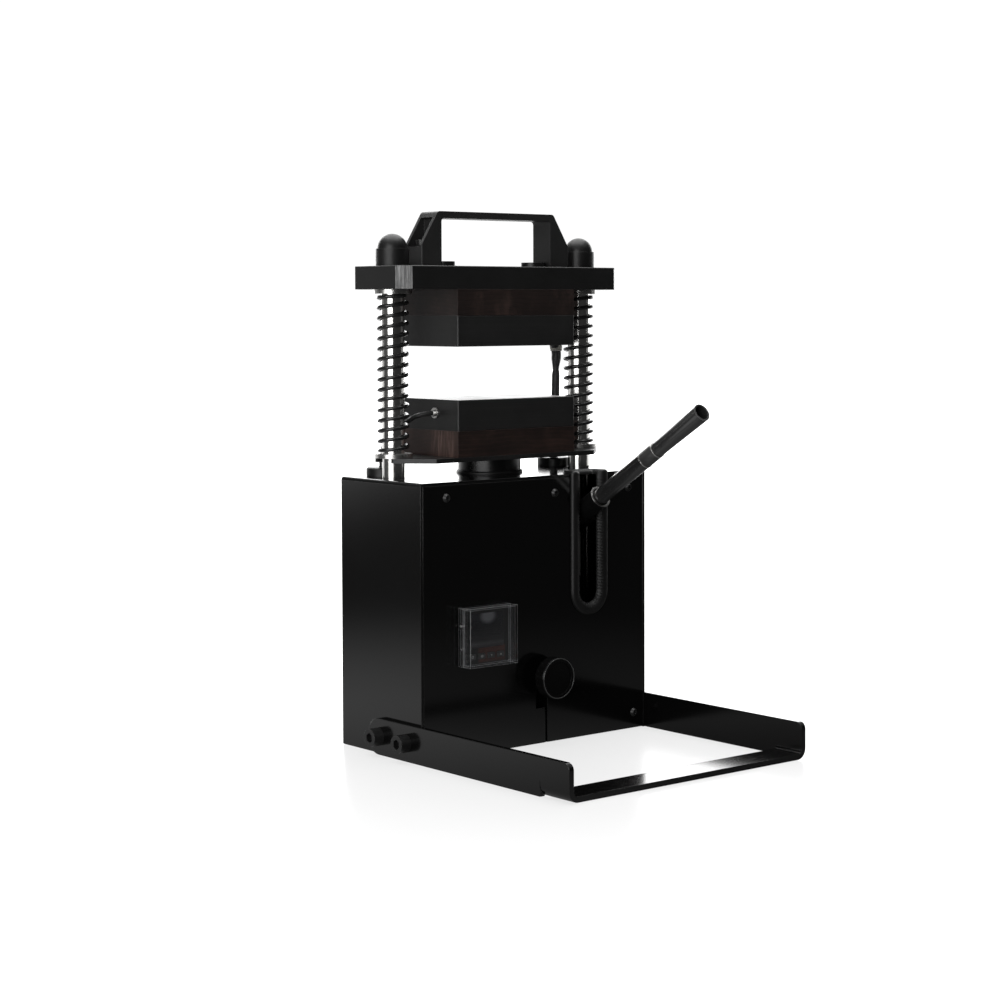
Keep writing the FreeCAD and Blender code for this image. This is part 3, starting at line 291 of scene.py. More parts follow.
def zinc(name, bright=0.62, rough=0.28):
    """Turned and plated steel with a faint spangle."""
    tree = Tree(name)
    spangle = tree.node("TexVoronoi", {"Vector": tree.place(), "Scale": 520.0}, out="Distance")
    turning = tree.streaks((60.0, 60.0, 1600.0), detail=4.0, rough=0.7)
    level = tree.plus(tree.remap(turning, MID, to=(bright - 0.08, bright + 0.08)),
                      tree.remap(spangle, (0.0, 0.9), to=(0.04, -0.04)))
    colour = tree.mix(level, 0.0, (1.0, 0.99, 0.965))
    gloss = tree.noise(60.0, detail=4.0, rough=0.7)
    gloss = tree.remap(gloss, MID, to=(rough - 0.06, rough + 0.08))
    normal = tree.rounded(0.3)
    colour = tree.mix(tree.times(tree.edge_mask(normal), 0.5), colour, 0.85)
    normal = tree.bump(turning, strength=0.10, depth=0.03, normal=normal)
    return tree.principled(colour, gloss, normal, metal=1.0)


def plate_finish():
    """Hard-anodised plate: fine mill lines, satin, edges a little lighter."""
    tree = Tree("anodised_plate")
    mill = tree.streaks((14.0, 14.0, 950.0), detail=4.0, rough=0.7)
    flat = tree.streaks((12.0, 900.0, 12.0), detail=4.0, rough=0.7)
    level = tree.math("ABSOLUTE", tree.axis(tree.facing(), "Z"))
    lines = tree.mix_value(tree.remap(level, (0.6, 0.9)), mill, flat)
    broad = tree.noise(13.0, detail=4.0, rough=0.6)
    colour = tree.mix(tree.remap(broad, MID), 0.013, 0.020)
    colour = tree.mix(tree.remap(lines, (0.45, 0.8), to=(0.0, 0.5)), colour, 0.032)
    gloss = tree.remap(tree.noise(26.0, detail=4.0, rough=0.6), MID, to=(0.36, 0.46))
    gloss = tree.plus(gloss, tree.remap(lines, MID, to=(-0.03, 0.03)))
    normal = tree.rounded(0.35)
    patches = tree.noise(140.0, detail=3.0, rough=0.7)
    worn = tree.times(tree.edge_mask(normal), tree.remap(patches, (0.3, 0.6), to=(0.35, 0.9)))
    colour = tree.mix(worn, colour, 0.16)
    normal = tree.bump(lines, strength=0.10, depth=0.03, normal=normal)
    return tree.principled(colour, gloss, normal, metal=0.15, specular=0.5)


def raked_end(tree, colour):
    """Slanting pale marks across the end face that looks to -X."""
    y = tree.axis(tree.place(), "Y")
    slant = tree.node("Mapping", {"Vector": tree.place(), "Rotation": (-0.50, 0.0, 0.0),
                                  "Scale": (60.0, 430.0, 34.0)})
    slant = tree.noise(1.0, detail=3.0, rough=0.7, place=slant)
    zone = tree.times(tree.remap(y, (0.002, -0.010), smooth=True),
                      tree.remap(y, (-0.0385, -0.030), smooth=True))
    left = tree.remap(tree.axis(tree.facing(), "X"), (-0.6, -0.9))
    marks = tree.times(tree.times(zone, left), tree.remap(slant, (0.46, 0.62)), clamp=True)
    colour = tree.mix(tree.times(marks, 0.85), colour, (0.170, 0.112, 0.094))
    return tree.mix(tree.times(left, 0.35), colour, (0.075, 0.043, 0.036))


def wood(name, seed, raked=False):
    """Dark stained hardwood: long grain along X, growth rings on the ends, open pores."""
    tree = Tree(name)
    base = tree.node("Mapping", {"Vector": tree.place(),
                                 "Location": (seed * 0.37, seed * 0.11, seed * 0.23)})

    def grain(place, scale, detail, rough):
        place = tree.vector("MULTIPLY", place, scale)
        return tree.noise(1.0, detail, rough, place)

    warp = tree.noise(9.0, detail=3.0, rough=0.55, place=base, out="Color")
    warp = tree.vector("SUBTRACT", warp, (0.5, 0.5, 0.5))
    warp = tree.node("VectorMath", {0: warp, "Scale": 0.018}, operation="SCALE")
    board = tree.vector("ADD", base, warp)
    board = tree.vector("MULTIPLY", board, (0.13, 1.0, 1.0))
    # growth rings around a pith line outside the board
    pith = (0.0, 0.035 + 0.02 * seed, -0.19 + 0.11 * seed)
    across = tree.vector("SUBTRACT", board, pith)
    across = tree.vector("MULTIPLY", across, (0.35, 1.0, 1.0))
    ring = tree.math("FRACT", tree.times(tree.length(across), 260.0))
    ring = tree.math("POWER", ring, 1.7)
    fibre = grain(board, (160.0, 900.0, 900.0), detail=5.0, rough=0.7)
    broad = grain(board, (110.0, 55.0, 70.0), detail=4.0, rough=0.6)
    mottle = grain(base, (34.0, 60.0, 46.0), detail=4.0, rough=0.65)
    tone = tree.plus(tree.times(broad, 0.40), tree.times(mottle, 0.40))
    tone = tree.plus(tree.times(ring, 0.10), tree.plus(tree.times(fibre, 0.20), tone))
    colour = tree.ramp(tone, [
        (0.36, (0.0075, 0.0042, 0.0036)), (0.52, (0.017, 0.0092, 0.0075)),
        (0.66, (0.034, 0.018, 0.0145)), (0.82, (0.062, 0.035, 0.028))])
    if not raked:
        # this board took the stain more evenly and is greyer
        pale = tree.ramp(tone, [
            (0.36, (0.0125, 0.0086, 0.0078)), (0.60, (0.0215, 0.0145, 0.0130)),
            (0.84, (0.046, 0.031, 0.027))])
        colour = tree.mix(0.7, colour, pale)
    # lighter, raked streaks in patches, strongest on the ends, where the stain took less
    rake = tree.node("Mapping", {"Vector": base, "Rotation": (0.55, 0.0, 0.25),
                                 "Scale": (70.0, 420.0, 38.0)})
    rake = tree.noise(1.0, detail=4.0, rough=0.7, place=rake)
    patch = tree.remap(tree.noise(14.0, detail=2.0, rough=0.5, place=base), (0.52, 0.66))
    end = tree.math("ABSOLUTE", tree.axis(tree.facing(), "X"))
    end = tree.remap(end, (0.6, 0.9))
    streaks = tree.times(tree.times(tree.remap(rake, (0.5, 0.68)), patch),
                         tree.mix_value(end, 0.30, 0.75))
    colour = tree.mix(streaks, colour, (0.115, 0.072, 0.060))
    if raked:
        colour = raked_end(tree, colour)
    # open pores: short dark dashes along the grain, dots on the ends
    pores = tree.node("TexVoronoi", {
        "Vector": tree.vector("MULTIPLY", base, (60.0, 900.0, 900.0)), "Scale": 1.0,
        "Randomness": 1.0}, out="Distance")
    pores = tree.remap(pores, (0.10, 0.26), to=(1.0, 0.0))
    colour = tree.mix(tree.times(pores, 0.65), colour, (0.004, 0.0025, 0.002))
    gloss = tree.remap(fibre, MID, to=(0.50, 0.40))
    normal = tree.rounded(0.45)
    colour = tree.mix(tree.times(tree.edge_mask(normal), 0.35), colour, (0.09, 0.055, 0.045))
    height = tree.math("SUBTRACT", tree.times(fibre, 0.5), pores)
    normal = tree.bump(height, strength=0.30, depth=0.06, normal=normal)
    return tree.principled(colour, gloss, normal, specular=0.42)


def clear_plastic():
    """Thin clear moulding: see-through, reflective at a glance, with faint haze and scratches;
    its edges are painted pale grey as a highlight.
    """
    tree = Tree("clear_cover")
    normal = tree.rounded(0.42, samples=8)
    painted_edge_highlight = tree.edge_mask(normal)
    haze = tree.noise(22.0, detail=4.0, rough=0.6)
    haze = tree.remap(haze, (0.35, 0.7), to=(0.001, 0.006))
    scratch = tree.scaled((60.0, 60.0, 900.0), turn=(0.3, 0.2, 0.4))
    scratch = tree.noise(1.0, detail=3.0, rough=0.8, place=scratch)
    scratch = tree.remap(scratch, (0.68, 0.76), to=(0.0, 0.02))
    true_normal = tree.node("NewGeometry", out="Normal")
    glance = tree.node("Fresnel", {"IOR": 1.49, "Normal": true_normal})
    gloss = tree.node("BsdfAnisotropic", {"Color": rgb(0.9), "Roughness": 0.05,
                                          "Normal": normal}, distribution="GGX")
    clear = tree.node("BsdfTransparent", {"Color": rgb((0.95, 0.955, 0.96))})
    body = tree.node("MixShader", {0: tree.times(glance, 0.42), 1: clear, 2: gloss})
    haze_and_highlight_diffuse = tree.node("BsdfDiffuse", {"Color": rgb((0.80, 0.81, 0.82)), "Normal": normal})
    # haze and scratches are the moulding's own; the pale grey edges are a painted highlight
    haze_and_edge_highlight = tree.plus(tree.plus(haze, scratch), tree.times(painted_edge_highlight, 0.60), clamp=True)
    return tree.done(tree.node("MixShader", {0: haze_and_edge_highlight, 1: body, 2: haze_and_highlight_diffuse}))


def sleeve(name):
    """Braided heat sleeve: crossing yarns as a fine diamond weave."""
    tree = Tree(name)

    def yarns(side):
        place = tree.scaled((side, 1, 1), turn=(0.0, side * 0.6, 0.5))
        return tree.node("TexWave", {"Vector": place, "Scale": 250.0, "Distortion": 1.2,
                                     "Detail": 2.0, "Detail Scale": 3.0},
                         out="Fac", bands_direction="DIAGONAL")

    weave = tree.math("MAXIMUM", yarns(1), yarns(-1))
    colour = tree.mix(weave, 0.006, 0.030)
    dust = tree.noise(120.0, detail=4.0, rough=0.7)
    dust = tree.remap(dust, (0.55, 0.75), to=(0.0, 0.6))
    colour = tree.mix(dust, colour, (0.055, 0.052, 0.048))
    gloss = tree.remap(tree.noise(300.0, detail=3.0, rough=0.7), MID, to=(0.38, 0.62))
    normal = tree.bump(weave, strength=0.45, depth=0.15)
    return tree.principled(colour, gloss, normal, specular=0.5)


def lamp_glass(name):
    """Smoked display window with a painted reflection near the top, and dust."""
    tree = Tree(name)
    place = tree.place()
    rise = tree.remap(tree.axis(place, "Z"), (0.0925, 0.1230))
    colour = tree.ramp(rise, [
        (0.0, (0.030, 0.028, 0.030)), (0.12, (0.060, 0.058, 0.062)),
        (0.22, (0.024, 0.023, 0.025)), (0.6, (0.014, 0.014, 0.016)),
        (1.0, (0.026, 0.026, 0.030))])
    # an oval painted reflection near the top
    painted_reflection = tree.vector("SUBTRACT", place, (-0.0600, 0.0, 0.1200))
    painted_reflection = tree.vector("MULTIPLY", painted_reflection, (115.0, 0.0, 150.0))
    painted_reflection = tree.remap(tree.length(painted_reflection), (0.45, 1.25), to=(1.0, 0.0), smooth=True)
    colour = tree.mix(tree.times(painted_reflection, 0.9), colour, (0.19, 0.193, 0.205))
    dust = tree.noise(900.0, detail=3.0, rough=0.7)
    colour = tree.mix(tree.remap(dust, (0.6, 0.8), to=(0.0, 0.25)), colour, 0.07)
    gloss = tree.remap(tree.noise(50.0, detail=4.0, rough=0.7), MID, to=(0.10, 0.20))
    return tree.principled(colour, gloss, specular=0.5, coat=0.3, coat_rough=0.05)


def control_face():
    """Black controller moulding; the strip around the keys is printed dark red-brown."""
    tree = Tree("control_face")
    x, y, z = (tree.axis(tree.place(), letter) for letter in "XYZ")
    base = tree.mix(tree.remap(tree.noise(30.0, detail=3.0, rough=0.6), MID), 0.010, 0.016)
    # limits of the strip in metres: top and bottom, left and right, front face only
    strip = tree.times(tree.remap(z, (0.0945, 0.0925)), tree.remap(z, (0.0795, 0.0815)))
    sides = tree.times(tree.remap(x, (-0.0720, -0.0690)), tree.remap(x, (-0.0405, -0.0425)))
    strip = tree.times(strip, sides)
    strip = tree.times(strip, tree.remap(y, (-0.0705, -0.0712)))
    red = tree.remap(tree.noise(260.0, detail=3.0, rough=0.7), MID)
    red = tree.mix(red, (0.055, 0.020, 0.015), (0.095, 0.036, 0.026))
    colour = tree.mix(tree.times(strip, 0.9, clamp=True), base, red)
    gloss = tree.remap(tree.noise(90.0, detail=3.0, rough=0.6), MID, to=(0.36, 0.46))
    grain = tree.noise(1800.0, detail=3.0, rough=0.6)
    normal = tree.bump(grain, strength=0.2, depth=0.04, normal=tree.rounded(0.3))
    return tree.principled(colour, gloss, normal, specular=0.45)


def status_lamp_red():
    """Unlit lamp, a very dark red."""
    tree = Tree("unlit_segments")
    tone = tree.remap(tree.noise(500.0, detail=2.0, rough=0.5), MID)
    colour = tree.mix(tone, (0.020, 0.012, 0.012), (0.028, 0.015, 0.014))
    return tree.principled(colour, tree.remap(tree.noise(200.0), MID, to=(0.3, 0.5)))


# material of each slot
MATERIALS = {
    "black_powder_coat": powder_coat("powder_coat", rough=(0.118, 0.138), texture=0.35),
    "polished_steel": ground_steel("chromed_bar"),
    "zinc_steel": zinc("bright_zinc"),
    "black_screw": finish("black_oxide", base=0.012, rough=0.34, metal=0.25, specular=0.6,
                          grain=1400.0, bump=0.10, edge=0.25, edge_colour=0.16,
                          edge_rough=-0.05),
    "black_rubber": finish("moulded_rubber", base=0.0065, rough=0.42, specular=0.42,
                           grain=1300.0, bump=0.20, edge=0.5),
    "black_anodised": finish("satin_black", base=0.010, rough=0.36, grain=1100.0, edge=0.4,
                             edge_colour=0.07),
    "stained_wood": wood("dark_wood_a", seed=0.0),
    "dark_plate": plate_finish(),
    "handle_plastic": finish("handle_texture", base=0.020, rough=0.42, grain=1500.0,
                             bump=0.28, depth=0.06, edge=0.6),
    "cable_sleeve": sleeve("braided_sleeve"),
    "spring_black": finish("oiled_spring", base=0.010, rough=0.24, specular=0.6, grain=700.0,
                           bump=0.10, edge=0.1, coat=0.3),
    "cast_grey": finish("machined_casting", base=0.17, rough=0.5, metal=0.6, grain=650.0,
                        bump=0.35, depth=0.10, edge=0.5, edge_colour=0.4),
    "jack_paint": finish("jack_enamel", base=0.030, rough=0.26, grain=380.0, depth=0.08,
                         edge=0.5, coat=0.4),
    "clear_plastic": clear_plastic(),
    "control_plastic": finish("control_moulding", base=0.013, rough=0.40, grain=1800.0,
                              bump=0.22, edge=0.3),
    "key_plastic": finish("key_moulding", base=0.045, rough=0.34, grain=1500.0, edge=0.3),
    "knob_plastic": finish("knob_gloss", base=0.0030, rough=0.24, specular=0.22, grain=60.0,
                           bump=0.0, edge=0.30, rough_vary=0.02),
    "lever_paint": finish("lever_enamel", base=0.011, rough=0.24, specular=0.55, grain=420.0,
                          bump=0.10, depth=0.07, edge=0.4, edge_colour=0.08,
                          rough_vary=0.05),
    "brass_wear": finish("turned_brass", base=(0.62, 0.44, 0.20), rough=0.28, metal=1.0,
                         bump=0.10, edge=0.3),
    "rocker_plastic": finish("rocker_gloss", base=(0.30, 0.012, 0.010), rough=0.22,
                             grain=1200.0, bump=0.06, edge=0.4),
    "relay_plastic": finish("relay_moulding", base=(0.55, 0.54, 0.50), rough=0.45,
                            grain=1300.0, bump=0.15, edge=0.4),
}
# near-black stand-ins for the hidden base block and pump, so the slots and seams they show
# through read black: painted shade
CAST_PAINTED_SHADE = finish("casting_painted_shade", base=0.008, rough=0.55, specular=0.25, grain=500.0,
                   bump=0.25, depth=0.08, edge=0.5)
PUMP_PAINTED_SHADE = finish("pump_casting_painted_shade", base=0.0035, rough=0.48, specular=0.2, grain=650.0,
                   bump=0.20, depth=0.06, edge=0.4)
# pieces whose material differs from their slot's
OWN_MATERIALS = {
    "crosshead": crosshead_finish(),
    "lower_insulator": wood("dark_wood_b", seed=1.0, raked=True),
    "tray_stand": powder_coat("stand_coat", rough=(0.15, 0.16), texture=0.0),
    "base_block": CAST_PAINTED_SHADE,
    "jack_base": PUMP_PAINTED_SHADE,
    "pump_body": PUMP_PAINTED_SHADE,
    "pump_links": PUMP_PAINTED_SHADE,
    # the plunger and link pins are darkened the same way: painted shade in the slot
    "pump_plunger": finish("plunger_painted_shade", base=0.006, rough=0.45, specular=0.12,
                           grain=600.0, bump=0.1, edge=0.3),
    "link_pins": finish("pins_painted_shade", base=0.008, rough=0.45, specular=0.15, grain=600.0,
                        bump=0.1, edge=0.3),
    # the socket inside the slot is darkened: painted shade
    "lever_socket": finish("socket_painted_shade", base=0.0022, rough=0.48, specular=0.14,
                           grain=700.0, bump=0.15, edge=0.4),
    # the grip and shank are lighter copies of the lever enamel: the lift is a painted
    # reflection, most on the grip
    "lever_upper_tube": finish("grip_enamel_painted_reflection", base=0.034, rough=0.18, specular=0.7,
                               grain=420.0, bump=0.05, edge=0.5, edge_colour=0.25,
                               rough_vary=0.03, coat=1.0),
    "lever_lower_tube": finish("shank_enamel_painted_reflection", base=0.017, rough=0.20, specular=0.65,
                               grain=420.0, bump=0.06, edge=0.4, edge_colour=0.10,
                               rough_vary=0.03, coat=0.8),
    "ram_head": finish("ram_black", base=0.0035, rough=0.30, specular=0.45, bump=0.10,
                       edge=0.5, edge_colour=0.05),
    # a dark metal stand-in for the brass stem, so its recess reads black: painted shade
    "valve_stem": finish("stem_painted_shade", base=(0.045, 0.045, 0.052), rough=0.34, metal=0.8,
                         bump=0.10, edge=0.3),
    "controller_case": control_face(),
}
for row in frame["record"]["subparts"]:
    material = OWN_MATERIALS.get(row["node"], MATERIALS[row["material_slot"]])
    mesh = NODES[row["node"]].data
    mesh.materials.clear()
    mesh.materials.append(material)


# ------------------------------------------------------------------ mesh tools
def link(part):
    bpy.context.scene.collection.objects.link(part)


def attach(part, body, replaces=None):
    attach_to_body(part, body)
    if replaces:
        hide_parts(replaces)


def mesh_object(name, verts, faces, material, smooth=True, sharp=None):
    """Mesh from verts in metres; edges over the angle sharp (degrees) stay sharp."""
    mesh = bpy.data.meshes.new(name)
    mesh.from_pydata([tuple(vert) for vert in verts], [], faces)
    mesh.validate()
    edit = bmesh.new()
    edit.from_mesh(mesh)
    bmesh.ops.recalc_face_normals(edit, faces=edit.faces)
    edit.to_mesh(mesh)
    edit.free()
    for polygon in mesh.polygons:
        polygon.use_smooth = smooth
    if sharp is not None:
        mesh.set_sharp_from_angle(angle=math.radians(sharp))
    part = bpy.data.objects.new(name, mesh)
    link(part)
    mesh.materials.append(material)
    return part


def tube_faces(rows, sides, base=0):
    """Quads between successive rings of an open tube."""
    faces = []
    for i in range(rows - 1):
        for k in range(sides):
            a = base + i * sides + k
            b = base + i * sides + (k + 1) % sides
            faces.append((a, b, b + sides, a + sides))
    return faces


def end_faces(rows, sides, base=0):
    """One flat face on each end of a tube."""
    last = base + (rows - 1) * sides
    return [tuple(range(base, base + sides)), tuple(range(last, last + sides))]


def loop_faces(rows, sides):
    """Quads of a section carried round a closed path."""
    faces = []
    for i in range(rows):
        j = (i + 1) % rows
        for k in range(sides):
            n = (k + 1) % sides
            faces.append((i * sides + k, j * sides + k, j * sides + n, i * sides + n))
    return faces


def frames_along(points):
    """Normal and side at each point of a line, turned as little as possible."""
    last = len(points) - 1
    tangents = [(points[min(i + 1, last)] - points[max(i - 1, 0)]).normalized()
                for i in range(last + 1)]
    normal = Vector((0, 0, 1)) if abs(tangents[0].z) < 0.9 else Vector((0, 1, 0))
    frames = []
    for tangent in tangents:
        normal = (normal - tangent * normal.dot(tangent)).normalized()
        frames.append((normal, tangent.cross(normal)))
    return frames


def sweep(name, points, radius, sides, material):
    """Capped tube along points; radius(i, angle) in metres."""
    verts = []
    for i, (point, (normal, side)) in enumerate(zip(points, frames_along(points))):
        for k in range(sides):
            angle = 2 * math.pi * k / sides
            outward = normal * math.cos(angle) + side * math.sin(angle)
            verts.append(point + outward * radius(i, angle))
    faces = tube_faces(len(points), sides)
    for start, tip in ((0, points[0]), ((len(points) - 1) * sides, points[-1])):
        verts.append(tip)
        centre = len(verts) - 1
        for k in range(sides):
            faces.append((centre, start + k, start + (k + 1) % sides))
    return mesh_object(name, verts, faces, material)


def catmull_rom(controls, steps):
    """Smooth curve through the controls, without its last point."""
    line = [controls[0] * 2 - controls[1]] + controls + [controls[-1] * 2 - controls[-2]]
    points = []
    for i in range(1, len(line) - 2):
        a, b, c, d = line[i - 1:i + 3]
        for k in range(steps):
            t = k / steps
            points.append(0.5 * ((2 * b) + (c - a) * t + (2 * a - 5 * b + 4 * c - d) * t * t
                                 + (3 * b - a - 3 * c + d) * t ** 3))
    return points


def evenly_spaced(points, step):
    """The same line with evenly spaced points."""
    spaced, carry = [points[0]], 0.0
    for a, b in zip(points, points[1:]):
        distance = (b - a).length
        position = step - carry
        while position <= distance:
            spaced.append(a.lerp(b, position / distance))
            position += step
        carry = distance - (position - step)
    if (spaced[-1] - points[-1]).length > step * 0.3:
        spaced.append(points[-1])
    return spaced


def turned(name, profile, origin, axis, material, steps=48):
    """Solid of revolution from a closed loop of (radius, height along axis) in mm."""
    axis = Vector(axis).normalized()
    start = Vector((1, 0, 0)) if abs(axis.x) < 0.9 else Vector((0, 1, 0))
    start = (start - axis * start.dot(axis)).normalized()
    quarter = axis.cross(start)
    origin = Vector(origin) * MM
    verts = []
    for i in range(steps):
        angle = 2 * math.pi * i / steps
        outward = start * math.cos(angle) + quarter * math.sin(angle)
        for radius, height in profile:
            verts.append(origin + outward * (radius * MM) + axis * (height * MM))
    return mesh_object(name, verts, loop_faces(steps, len(profile)), material, sharp=40)


def rounded_box(low_x, high_x, low_z, high_z, radius, steps=3):
    """Counter-clockwise rectangle with rounded corners, steps per corner."""
    points = []
    for x, z, first in ((high_x - radius, high_z - radius, 0),
                        (low_x + radius, high_z - radius, 90),
                        (low_x + radius, low_z + radius, 180),
                        (high_x - radius, low_z + radius, 270)):
        for k in range(steps + 1):
            angle = math.radians(first + 90.0 * k / steps)
            points.append((x + radius * math.cos(angle), z + radius * math.sin(angle)))
    return points


def plate_mesh(name, outline, front, back, material, soft=0.15):
    """Thin plate from an outline in X-Z, between two y, with an eased front edge."""
    count = len(outline)
    middle_x = sum(point[0] for point in outline) / count
    middle_z = sum(point[1] for point in outline) / count
    verts = []
    for y, inset in ((back, 0.0), (front + soft, 0.0), (front, soft)):
        for x, z in outline:
            away_x, away_z = x - middle_x, z - middle_z
            share = inset / (math.hypot(away_x, away_z) or 1.0)
            verts.append(Vector((x - away_x * share, y, z - away_z * share)) * MM)
    faces = tube_faces(3, count) + end_faces(3, count)
    return mesh_object(name, verts, faces, material, sharp=30)


# --------------------------------------------------------------------- springs
SPRING_X = 106.85
SPRING_LOW = 258.0
SPRING_LENGTH = 138.2
SPRING_HIGH = SPRING_LOW + SPRING_LENGTH
COIL_RADIUS = 12.3      # to the middle of the wire
WIRE = 3.4              # wire diameter
TURNS = 15.6667
TURN_STEPS = 48
WIRE_SIDES = 14
CLOSED_TURNS = 0.4      # close-wound part at each end
EASE_TURNS = 0.15       # half of the change from close to open winding
COIL_LOW = SPRING_LOW + WIRE / 2 + 0.05
COIL_HIGH = SPRING_HIGH - WIRE / 2 - 0.05
CLOSED_PITCH = WIRE + 0.1
OPEN_PITCH = ((COIL_HIGH - COIL_LOW - 2 * CLOSED_TURNS * CLOSED_PITCH)
              / (TURNS - 2 * CLOSED_TURNS))
END_GAP = 0.02          # the wire is flattened this far from each seat


def coil_rise(turn):
    """Height gained after this many turns from an end."""
    if turn <= CLOSED_TURNS - EASE_TURNS:
        return CLOSED_PITCH * turn
    if turn >= CLOSED_TURNS + EASE_TURNS:
        return CLOSED_PITCH * CLOSED_TURNS + OPEN_PITCH * (turn - CLOSED_TURNS)
    share = (turn - (CLOSED_TURNS - EASE_TURNS)) / (2 * EASE_TURNS)
    return CLOSED_PITCH * turn + (OPEN_PITCH - CLOSED_PITCH) * EASE_TURNS * share * share


def spring(name, x, first_angle, replaces):
    verts = []
    count = int(round(TURNS * TURN_STEPS))
    for i in range(count + 1):
        turn = TURNS * i / count
        if turn <= TURNS / 2:
            z = COIL_LOW + coil_rise(turn)
        else:
            z = COIL_HIGH - coil_rise(TURNS - turn)
        angle = math.radians(first_angle) + 2 * math.pi * turn
        cos, sin = math.cos(angle), math.sin(angle)
        centre = Vector((x + COIL_RADIUS * cos, COIL_RADIUS * sin, z))
        outward = Vector((cos, sin, 0))
        around = 2 * math.pi * COIL_RADIUS
        tangent = Vector((-sin * around, cos * around, OPEN_PITCH)).normalized()
        up = outward.cross(tangent).normalized()
        for k in range(WIRE_SIDES):
            side = 2 * math.pi * k / WIRE_SIDES
            uneven = 1.0 + 0.010 * noise.noise(Vector((turn * 3.1, k * 0.7, x)))
            radius = WIRE / 2 * uneven
            point = centre + (outward * math.cos(side) + up * math.sin(side)) * radius
            point.z = min(max(point.z, SPRING_LOW + END_GAP), SPRING_HIGH - END_GAP)
            verts.append(point * MM)
    faces = tube_faces(count + 1, WIRE_SIDES) + end_faces(count + 1, WIRE_SIDES)
    part = mesh_object(name, verts, faces, MATERIALS["spring_black"], sharp=55)
    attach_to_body(part, "frame")
    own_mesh(part)
    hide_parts(replaces)


spring("left_coil_spring", -SPRING_X, 52.0, "left_spring")
spring("right_coil_spring", SPRING_X, 181.0, "right_spring")


# ------------------------------------------------------------- slot edge trim
# Rubber band round a slot that is open at the top: down the front face, round the bottom
# arc, and back over the top face behind the slot.
SLOT_X = 60.0
BAND_INNER, BAND_OUTER = 10.5, 21.4      # from the slot's centre line
BAND_HALF = (BAND_OUTER - BAND_INNER) / 2.0
BAND_MID = (BAND_OUTER + BAND_INNER) / 2.0
FRONT_Y, BACK_Y = -66.6, -54.55
TOP_Z, ARC_Z = 236.5, 130.7
FRONT_THICK, TOP_THICK = 3.45, 2.55
BACK_CORNER = 6.2
FRONT_FACE, TOP_FACE = Vector((0, -1, 0)), Vector((0, 0, 1))
# (across towards the slot, height): highest near the middle, sloping down into the slot
BAND_CREST = [(-BAND_HALF, 0.06), (-BAND_HALF + 0.12, 1.2), (-4.6, 2.45), (-3.3, 3.2),
              (-1.5, 3.45), (0.5, 3.3), (2.2, 2.6), (3.6, 1.5), (4.8, 0.2),
              (BAND_HALF, -1.2)]
BAND_LIP = [(BAND_HALF, -1.2), (BAND_HALF, -2.0), (1.75, -2.0), (1.75, 0.06)]
RIB_SLOPE = [(1.3, 3.02), (2.2, 2.6), (3.0, 2.02), (3.6, 1.5), (4.3, 0.78), (4.8, 0.2),
             (5.2, -0.5)]
RIB_SWELL = (0.12, 0.75, 1.0, 1.0, 1.0, 0.75, 0.12)    # share of full height along a rib
RIB_HALF, RIB_HEIGHT, RIB_SUNK = 0.72, 0.62, 0.10
RIB_SIDES = 7
SIDE_RIB_PITCH, BACK_RIB_PITCH, TOP_RIB_PITCH = 2.8, 2.4, 2.3
ARC_RIB_SPACES = 15


def thinned(points, thick):
    """Scale the heights above the surface to the local thickness."""
    return [(across, height * thick / FRONT_THICK if height > 0 else height)
            for across, height in points]


def arc_station(share):
    """Point and inward direction on the bottom arc, share 0..1 from left to right."""
    angle = math.radians(180 + 180 * share)
    cos, sin = math.cos(angle), math.sin(angle)
    return Vector((BAND_MID * cos, FRONT_Y, ARC_Z + BAND_MID * sin)), Vector((-cos, 0, -sin))


def trim_stations():
    """Once round the band: point (x from the slot's centre), surface normal, direction
    towards the slot, thickness."""
    bottom = []
    for k in range(25):
        point, inward = arc_station(k / 24)
        bottom.append((point, FRONT_FACE, inward, FRONT_THICK))

    left_way = Vector((-1, 0, 0))
    right = []
    rows = 44
    for k in range(1, rows + 1):
        point = Vector((BAND_MID, FRONT_Y, ARC_Z + (TOP_Z - ARC_Z) * k / rows))
        right.append((point, FRONT_FACE, left_way, FRONT_THICK))
    for k in range(1, 8):    # over the top front edge
        angle = math.radians(90 * k / 8)
        normal = Vector((0, -math.cos(angle), math.sin(angle)))
        thick = FRONT_THICK + (TOP_THICK - FRONT_THICK) * k / 8
        right.append((Vector((BAND_MID, FRONT_Y, TOP_Z)), normal, left_way, thick))
    corner_y = BACK_Y - BACK_CORNER
    for k in range(4):
        point = Vector((BAND_MID, FRONT_Y + (corner_y - FRONT_Y) * k / 4, TOP_Z))
        right.append((point, TOP_FACE, left_way, TOP_THICK))
    corner_x = BAND_MID - BACK_CORNER
    for k in range(9):
        angle = math.radians(90 * k / 8)
        cos, sin = math.cos(angle), math.sin(angle)
        point = Vector((corner_x + BACK_CORNER * cos, corner_y + BACK_CORNER * sin, TOP_Z))
        right.append((point, TOP_FACE, Vector((-cos, -sin, 0)), TOP_THICK))

    back = []
    for k in range(1, 8):
        point = Vector((corner_x - 2 * corner_x * k / 8, BACK_Y, TOP_Z))
        back.append((point, TOP_FACE, Vector((0, -1, 0)), TOP_THICK))

    def mirrored(vector):
        return Vector((-vector.x, vector.y, vector.z))

    left = [(mirrored(point), normal, mirrored(inward), thick)
            for point, normal, inward, thick in reversed(right)]
    return bottom + right + back + left


